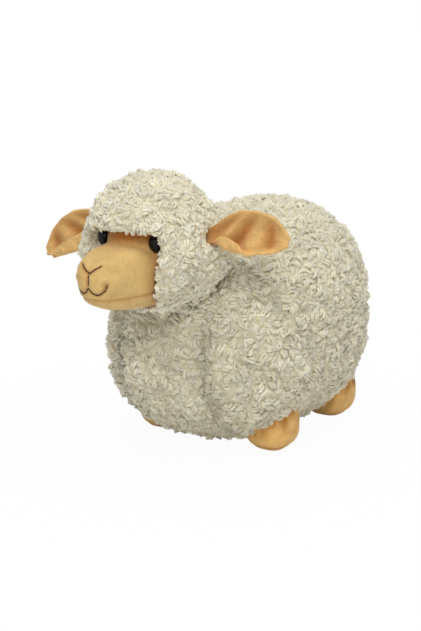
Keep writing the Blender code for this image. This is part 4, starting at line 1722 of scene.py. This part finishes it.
@dataclass
class Ear:
    """Two layers of velour, gathered at the root, with the lower lobe folded up in front."""

    side: Side
    lift: float
    curl: float
    upper: Profile
    fold: Profile
    flap: Profile
    pleat_depth: float = 0.0018
    length: float = 0.0645
    thickness: float = 0.0024
    fold_radius: float = 0.0019
    fold_turn: float = 176.0
    fold_steps: int = 24
    cup: float = 0.30
    lean: float = 12.0
    first_ridge: tuple[float, float] = (0.0122, 1.24)
    second_ridge: tuple[float, float] = (0.0382, 0.36)
    least_spacing: float = 0.008
    full_spacing: float = 0.024
    cup_closeness: float = 2.6
    edge_closeness: int = 5
    fold_start: float = 0.005
    fold_lift: float = 0.0014
    open_share: float = 0.9
    open_fade: float = 0.004
    pleat_fades: tuple[float, float] = (0.2, 0.22)
    wrinkle_height: float = 0.0005
    wrinkles: tuple[float, float] = (5.0, 120.0)
    tip_closeness: float = 1.25
    # Painted shade in the pleats' valleys and at the gathered root.
    valley_shade: float = 0.95
    root_shade: float = 0.60
    root_reach: float = 0.10
    root_share: float = -0.09
    rows: int = 50
    columns: int = 66

    @property
    def label(self) -> str:
        """Name of the ear, as its imported nodes and its joint start."""
        return f"ear_{self.side.label}"

    @property
    def root(self) -> Vector:
        """Place of the ear's joint."""
        return Vector(JOINTS[f"{self.label}_flap"]["pos_m"])

    def middle(self, share: float) -> tuple[Vector, Vector]:
        """Follows the ear's middle line.

        Args:
            share: Share of the length from the root.

        Returns:
            The line's point and its direction there.
        """
        start, bend = math.radians(self.lift), math.radians(self.curl)
        mean = start + bend * share / 2
        angle = start + bend * share
        along = Vector((self.side.value * math.cos(mean), 0, math.sin(mean))) * self.length * share
        return self.root + along, Vector((self.side.value * math.cos(angle), 0, math.sin(angle)))

    def pleat(self, along: float, up: float) -> float:
        """Wave of the pleats that fan down from the upper edge, from -1 in a valley to 1 on a ridge.

        Args:
            along: Share of the length from the root.
            up: Height above the middle line.

        Returns:
            The height of the wave.
        """
        start = self.first_ridge[0] + self.first_ridge[1] * up
        spacing = max(self.least_spacing, self.second_ridge[0] + self.second_ridge[1] * up - start)
        fade = min(1.0, spacing / self.full_spacing)
        return fade * math.cos(2 * math.pi * (along * self.length - start) / spacing)

    def section(self, along: float, across: float) -> tuple[float, float, float]:
        """Course of the cloth across the ear.

        Args:
            along: Share of the length from the root.
            across: From -1 at the folded lobe's edge to 1 at the upper edge.

        Returns:
            Height above the middle line, depth towards the front, and how open the cloth lies.
        """
        if across >= 0:
            reach = self.upper.at(along)
            depth = reach * self.cup * across ** self.cup_closeness
            return reach * across, depth, 1 - across ** self.edge_closeness
        fold, flap = self.fold.at(along), max(0.0, self.flap.at(along))
        length = -across * (fold + flap)
        bend = self.fold_radius * math.pi
        start = fold - bend / 2
        full_turn = math.radians(self.fold_turn) * min(1.0, flap / self.fold_start)
        rise = depth = 0.0
        for step in range(self.fold_steps):
            spot = length * (step + 0.5) / self.fold_steps
            share = min(1.0, max(0.0, (spot - start) / bend))
            turn = full_turn * share * share * (3 - 2 * share)
            rise -= math.cos(turn) * length / self.fold_steps
            depth += math.sin(turn) * length / self.fold_steps
        opened = min(1.0, max(0.0, (fold * self.open_share - length) / self.open_fade))
        return rise, depth + self.fold_lift * min(1.0, length / fold) ** 2, opened

    def place(self, along: float, across: float) -> tuple[Vector, float]:
        """Point of the ear's cloth.

        Args:
            along: Share of the length from the root.
            across: From -1 at the folded lobe's edge to 1 at the upper edge.

        Returns:
            The place of that point of the cloth, and how deep in a pleat it lies.
        """
        centre, way = self.middle(along)
        lean = math.radians(self.lean)
        up = way.cross(Vector((0, -math.cos(lean), math.sin(lean))))
        if up.z < 0:
            up.negate()
        up.normalize()
        facing = way.cross(up)
        if facing.y > 0:
            facing.negate()
        facing.normalize()
        rise, depth, opened = self.section(along, across)
        at_root, at_tip = self.pleat_fades
        window = opened * min(1.0, max(0.0, along / at_root)) * min(1.0, max(0.0, (1 - along) / at_tip))
        wave = self.pleat(along, rise) * window
        lengthwise, crosswise = self.wrinkles
        spot = Vector((along * lengthwise, rise * crosswise, self.side.value))
        wrinkle = self.wrinkle_height * noise.noise(spot)
        valley = window * (0.5 - 0.5 * wave) if opened else 0.0
        return centre + up * rise + facing * (depth + self.pleat_depth * wave + wrinkle), valley

    def build(self, material: Material) -> None:
        """Shapes a sheet into the folded ear and gives it its thickness.

        Args:
            material: The ear's velour.
        """
        piece = add_shape(
            f"{self.label}_velour", bpy.ops.mesh.primitive_grid_add,
            x_subdivisions=self.rows, y_subdivisions=self.columns, size=2,
        )
        flat = read_points(piece)
        to_tip = (1 - (flat[:, 0] + 1) / 2) ** self.tip_closeness
        along = self.root_share + (1 - self.root_share) * (1 - to_tip)
        placed = [self.place(float(u), float(v)) for u, v in zip(along, flat[:, 1])]
        write_points(piece, np.array([place for place, _ in placed]))
        select_only(piece)
        edit_all(lambda: bpy.ops.mesh.normals_make_consistent(inside=False))
        upper = flat[:, 1] > 0.1
        if read_normals(piece)[upper].mean(0)[1] > 0:
            edit_all(bpy.ops.mesh.flip_normals)
        # Painted shade: the pleats' valleys and the root are darkened.
        valley = np.array([depth for _, depth in placed])
        pressed = self.valley_shade * valley + self.root_shade * bump(along, self.root_reach)
        set_value(piece, "pressed", np.clip(pressed, 0, 1))
        apply_modifier(piece, "SOLIDIFY", thickness=self.thickness, offset=-1.0, use_even_offset=False)
        apply_modifier(piece, "SUBSURF", levels=1, render_levels=1)
        dress(piece, material, (f"{self.label}_front", f"{self.label}_back"))
        root = self.root
        self.label
        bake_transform(piece)


@dataclass
class Foot:
    """Round velour pad with a flat sole and a seam just above it."""

    row: str
    side: Side
    height: float = 0.0440
    flat_depth: float = 0.0005
    sole_height: float = 0.0040
    fullness: float = 2.6
    seam_width: float = 0.0009
    seam_depth: float = 0.0006
    soft_size: float = 0.012
    soft_height: float = 0.0005
    gather_count: int = 13
    gather_depth: float = 0.0004
    gather_start: float = 0.016
    gather_fade: float = 0.014
    gather_sway: float = 2.0
    gather_size: float = 0.02
    blotch_size: float = 0.007
    # Painted shade of the pad: darker towards the top under the fleece, in the seam and between the gathers;
    # the blotches and soft lumps are random mottling.
    shadow_start: float = 0.010
    shadow_fade: float = 0.018
    shadow_shade: float = 0.60
    seam_shade: float = 0.60
    soft_shade: float = 0.40
    blotch_shade: float = 0.50
    gather_shade: float = 0.12
    segments: int = 80

    @property
    def label(self) -> str:
        """Name of the foot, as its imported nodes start."""
        return f"{self.row}_{self.side.label}_foot"

    def build(self, material: Material) -> None:
        """Shapes a ball into the pad, flattens its sole and sinks a seam just above it.

        Args:
            material: The foot's velour.
        """
        low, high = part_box(f"{self.label}_cover")
        half = Vector(((high.x - low.x) / 2, (high.y - low.y) / 2, self.height / 2))
        centre = Vector(((high.x + low.x) / 2, (high.y + low.y) / 2, self.height / 2 - self.flat_depth))
        piece = add_shape(
            f"{self.label}_velour", bpy.ops.mesh.primitive_uv_sphere_add,
            segments=self.segments, ring_count=self.segments // 2, radius=1,
        )
        ways = read_points(piece)
        reach = (np.abs(ways) ** self.fullness).sum(1) ** (-1 / self.fullness)
        points = ways * reach[:, None] * np.array(half) + np.array(centre)
        write_points(piece, points)
        normals = read_normals(piece)
        seam = bump(points[:, 2] - self.sole_height, self.seam_width)
        turn = np.arctan2(ways[:, 1], ways[:, 0])
        near_fleece = np.clip((points[:, 2] - self.gather_start) / self.gather_fade, 0, 1)
        sway = self.gather_sway * lumps(points, self.gather_size, 4)
        gathers = np.cos(turn * self.gather_count + sway) * near_fleece
        soft = lumps(points, self.soft_size, 9 + centre.x * 100)
        rise = self.soft_height * soft - self.seam_depth * seam + self.gather_depth * gathers
        points += normals * rise[:, None]
        points[:, 2] = np.maximum(points[:, 2], 0.0)
        write_points(piece, points)
        # Painted shade towards the top, in the seam and between the gathers, with random blotches and soft
        # lumps.
        shadow = np.clip((points[:, 2] - self.shadow_start) / self.shadow_fade, 0, 1)
        blotches = lumps(points, self.blotch_size, 5 + centre.y * 100)
        pressed = (self.shadow_shade * shadow + self.seam_shade * seam + self.soft_shade * soft
                   + self.blotch_shade * blotches + self.gather_shade * gathers)
        set_value(piece, "pressed", np.clip(pressed, 0, 1))
        nodes = [f"{self.label}_{part}" for part in ("cover", "sole", "stuffing")]
        settle(piece, material, Body.TORSO, nodes)


@dataclass
class HiddenFilling:
    """Loose fibre that shows only if the toy is opened."""

    node: str
    body: Body
    voxel: float = 0.0035
    tuft_size: float = 0.009
    tuft_depth: float = 0.0006

    def build(self, material: Material) -> None:
        """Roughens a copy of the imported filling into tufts.

        Args:
            material: The filling.
        """
        piece = rounded_copy(f"{self.node}_fibre", (self.node,), self.voxel, 3)
        points = read_points(piece)
        depth = self.tuft_depth * (lumps(points, self.tuft_size, 6) - 1)
        write_points(piece, points + read_normals(piece) * depth[:, None])
        settle(piece, material, self.body, (self.node,))


@dataclass(frozen=True)
class Lamp:
    """Square soft lamp, placed from the camera's azimuth and from the sheep, with its power in watts."""

    name: str
    beside_camera: float
    elevation: float
    distance: float
    size: float
    power: float


LAMPS = (
    Lamp("key_lamp", beside_camera=-14, elevation=30, distance=1.6, size=1.0, power=4.0),
    Lamp("top_lamp", beside_camera=-5, elevation=74, distance=1.5, size=0.8, power=7.8),
    Lamp("fill_lamp", beside_camera=55, elevation=20, distance=1.8, size=1.2, power=1.0),
    Lamp("back_lamp", beside_camera=170, elevation=35, distance=1.8, size=1.2, power=5.0),
    Lamp("catch_lamp", beside_camera=4, elevation=42, distance=1.2, size=0.10, power=2.5),
)


@dataclass
class Studio:
    """Camera at the photograph's angle, soft lamps and a white floor."""

    azimuth: float = 34.0
    elevation: float = 14.0
    distance: float = 1.2
    aim: Vector = field(default_factory=lambda: Vector((0.0055, -0.014, 0.108)))
    focal_pixels: float = 1500.0
    image_height: float = 631.0
    sensor: float = 36.0
    floor_width: float = 60.0
    floor_tone: float = 0.92
    shadow_reach: tuple[float, float] = (0.10, 0.35)
    shadow_white: float = 0.96
    world_light: float = 0.33

    def stand(self, name: str, data: bpy.types.ID, azimuth: float, elevation: float,
              distance: float) -> Piece:
        """Stands a camera or a lamp round the sheep and turns it to face the sheep.

        Args:
            name: Its name.
            data: The camera or the lamp.
            azimuth: Where it stands, in degrees from the front towards the left side.
            elevation: How high it stands, in degrees.
            distance: How far it stands from the point that is aimed at.

        Returns:
            The object.
        """
        a, e = math.radians(azimuth), math.radians(elevation)
        way = Vector((math.sin(a) * math.cos(e), -math.cos(a) * math.cos(e), math.sin(e)))
        made = new_object(name, data)
        made.location = self.aim + way * distance
        made.rotation_mode = "QUATERNION"
        made.rotation_quaternion = (-way).to_track_quat("-Z", "Y")
        return made

    def camera(self) -> None:
        """Adds the camera."""
        data = bpy.data.cameras.new("camera")
        data.sensor_width = self.sensor
        data.lens = self.sensor * self.focal_pixels / self.image_height
        bpy.context.scene.camera = self.stand("camera", data, self.azimuth, self.elevation, self.distance)

    def lamp(self, lamp: Lamp) -> None:
        """Adds one lamp.

        Args:
            lamp: What it is.
        """
        data = bpy.data.lights.new(lamp.name, "AREA")
        data.size = lamp.size
        data.energy = lamp.power
        self.stand(lamp.name, data, self.azimuth + lamp.beside_camera, lamp.elevation, lamp.distance)

    @staticmethod
    def seen_share(tree: Tree) -> Socket:
        """Tells where the camera, a mirror image or a view through glass meets the surface.

        Args:
            tree: The nodes that ask.

        Returns:
            Socket that is 1 there and 0 elsewhere.
        """
        path = add_node(tree, "LightPath", {}).outputs
        seen = calculated(tree, "MAXIMUM", path["Is Camera Ray"], path["Is Glossy Ray"])
        return calculated(tree, "MAXIMUM", seen, path["Is Transmission Ray"])

    def floor(self) -> None:
        """Adds a wide white floor that keeps a soft shadow near the sheep."""
        piece = add_shape("floor", bpy.ops.mesh.primitive_plane_add, size=self.floor_width)
        made = new_material("floor")
        tree = made.node_tree
        tree.nodes.clear()
        tone = self.floor_tone
        paper = add_node(tree, "BsdfDiffuse", {"Color": (tone, tone, tone, 1)}).outputs[0]
        white = add_node(tree, "Emission", {"Strength": 1}).outputs[0]
        place = add_node(tree, "TexCoord", {}).outputs["Object"]
        length = add_node(tree, "VectorMath", {0: place}, operation="LENGTH").outputs["Value"]
        fade = ranged(tree, length, *self.shadow_reach, self.shadow_white, 1.0)
        share = calculated(tree, "MULTIPLY", fade, self.seen_share(tree))
        mixed = add_node(tree, "MixShader", {0: share, 1: paper, 2: white}).outputs[0]
        add_node(tree, "OutputMaterial", {"Surface": mixed})
        piece.data.materials.append(made)

    def world(self) -> None:
        """Adds soft light from all round, and white where it is seen."""
        made = bpy.data.worlds.new("world")
        made.use_nodes = True
        bpy.context.scene.world = made
        tree = made.node_tree
        strength = ranged(tree, self.seen_share(tree), 0.0, 1.0, self.world_light, 1.0)
        feed(tree, tree.nodes["Background"], {"Color": (1, 1, 1, 1), "Strength": strength})

    def build(self) -> None:
        """Builds the camera, the lamps, the floor and the world."""
        self.camera()
        for lamp in LAMPS:
            self.lamp(lamp)
        self.floor()
        self.world()
        bpy.context.scene.view_settings.view_transform = "Standard"


def ears() -> tuple[Ear, Ear]:
    """Gives the two ears, the left one held out and the right one drooping.

    Returns:
        The left ear and the right ear.
    """
    left = Ear(
        Side.LEFT, lift=14, curl=-22,
        upper=Profile((
            (-0.1, 0.0050), (0, 0.0062), (0.15, 0.0112), (0.285, 0.0150), (0.457, 0.0175), (0.62, 0.0170),
            (0.75, 0.0153), (0.86, 0.0122), (0.94, 0.0076), (1, 0.0012), (1.1, -0.0060),
        )),
        fold=Profile((
            (-0.1, 0.0030), (0, 0.0030), (0.1, 0.0038), (0.16, 0.0078), (0.23, 0.0106), (0.36, 0.0123),
            (0.5, 0.0130), (0.62, 0.0130), (0.74, 0.0125), (0.86, 0.0100), (0.94, 0.0068), (1, 0.0020),
            (1.1, -0.0030),
        )),
        flap=Profile((
            (-0.1, 0.0010), (0, 0.0012), (0.08, 0.0020), (0.14, 0.0062), (0.23, 0.0098), (0.33, 0.0078),
            (0.4, 0.0058), (0.457, 0.0040), (0.55, 0.0012), (0.65, 0.0), (1.1, 0.0),
        )),
    )
    right = Ear(
        Side.RIGHT, lift=-18, curl=-16, pleat_depth=0.0012,
        upper=Profile((
            (-0.1, 0.0050), (0, 0.0070), (0.11, 0.0118), (0.23, 0.0146), (0.38, 0.0160), (0.55, 0.0152),
            (0.74, 0.0115), (0.86, 0.0070), (0.97, 0.0030), (1.1, -0.0020),
        )),
        fold=Profile((
            (-0.1, 0.0040), (0, 0.0050), (0.2, 0.0120), (0.485, 0.0135), (0.685, 0.0113), (0.83, 0.0093),
            (0.91, 0.0068), (1, 0.0020), (1.1, -0.0030),
        )),
        flap=Profile((
            (-0.1, 0.0020), (0, 0.0030), (0.15, 0.0090), (0.285, 0.0095), (0.485, 0.0098), (0.58, 0.0086),
            (0.685, 0.0070), (0.85, 0.0035), (0.95, 0.0), (1.1, 0.0),
        )),
    )
    return left, right


def build_sheep() -> None:
    """Builds every visible piece of the sheep."""
    FleeceCoat().build()
    head = VelourHead(Velour())
    tree = tree_of(head.build())
    thread = THREAD.material()
    for node, line in head.lines().items():
        Embroidery(node, line).build(tree, thread)
    plastic = GlossyPlastic().material()
    for side in Side:
        Eye(side).build(plastic)
    ear_velour = Velour("ear_velour", lit=(0.80, 0.49, 0.175), blotches=0.6, speckles=0.7).material()
    for ear in ears():
        ear.build(ear_velour)
    foot_velour = Velour("foot_velour", lit=(1.00, 0.61, 0.21), pressed=(0.58, 0.22, 0.03)).material()
    for row in ("front", "rear"):
        for side in Side:
            Foot(row, side).build(foot_velour)
    filling = FILLING.material()
    HiddenFilling("torso_stuffing", Body.TORSO).build(filling)
    HiddenFilling("neck_stuffing", Body.NECK, voxel=0.0020).build(filling)
    washer_plastic = WASHER_PLASTIC.material()
    for side in Side:
        washer = frame["nodes"][f"eye_washer_{side.label}"]
        washer.data.materials.clear()
        washer.data.materials.append(washer_plastic)


def main() -> None:
    """Builds the sheep and the studio."""
    logging.basicConfig(level=logging.INFO, format="%(name)s: %(message)s")
    build_sheep()
    Studio().build()


if __name__ == "__main__":
    main()
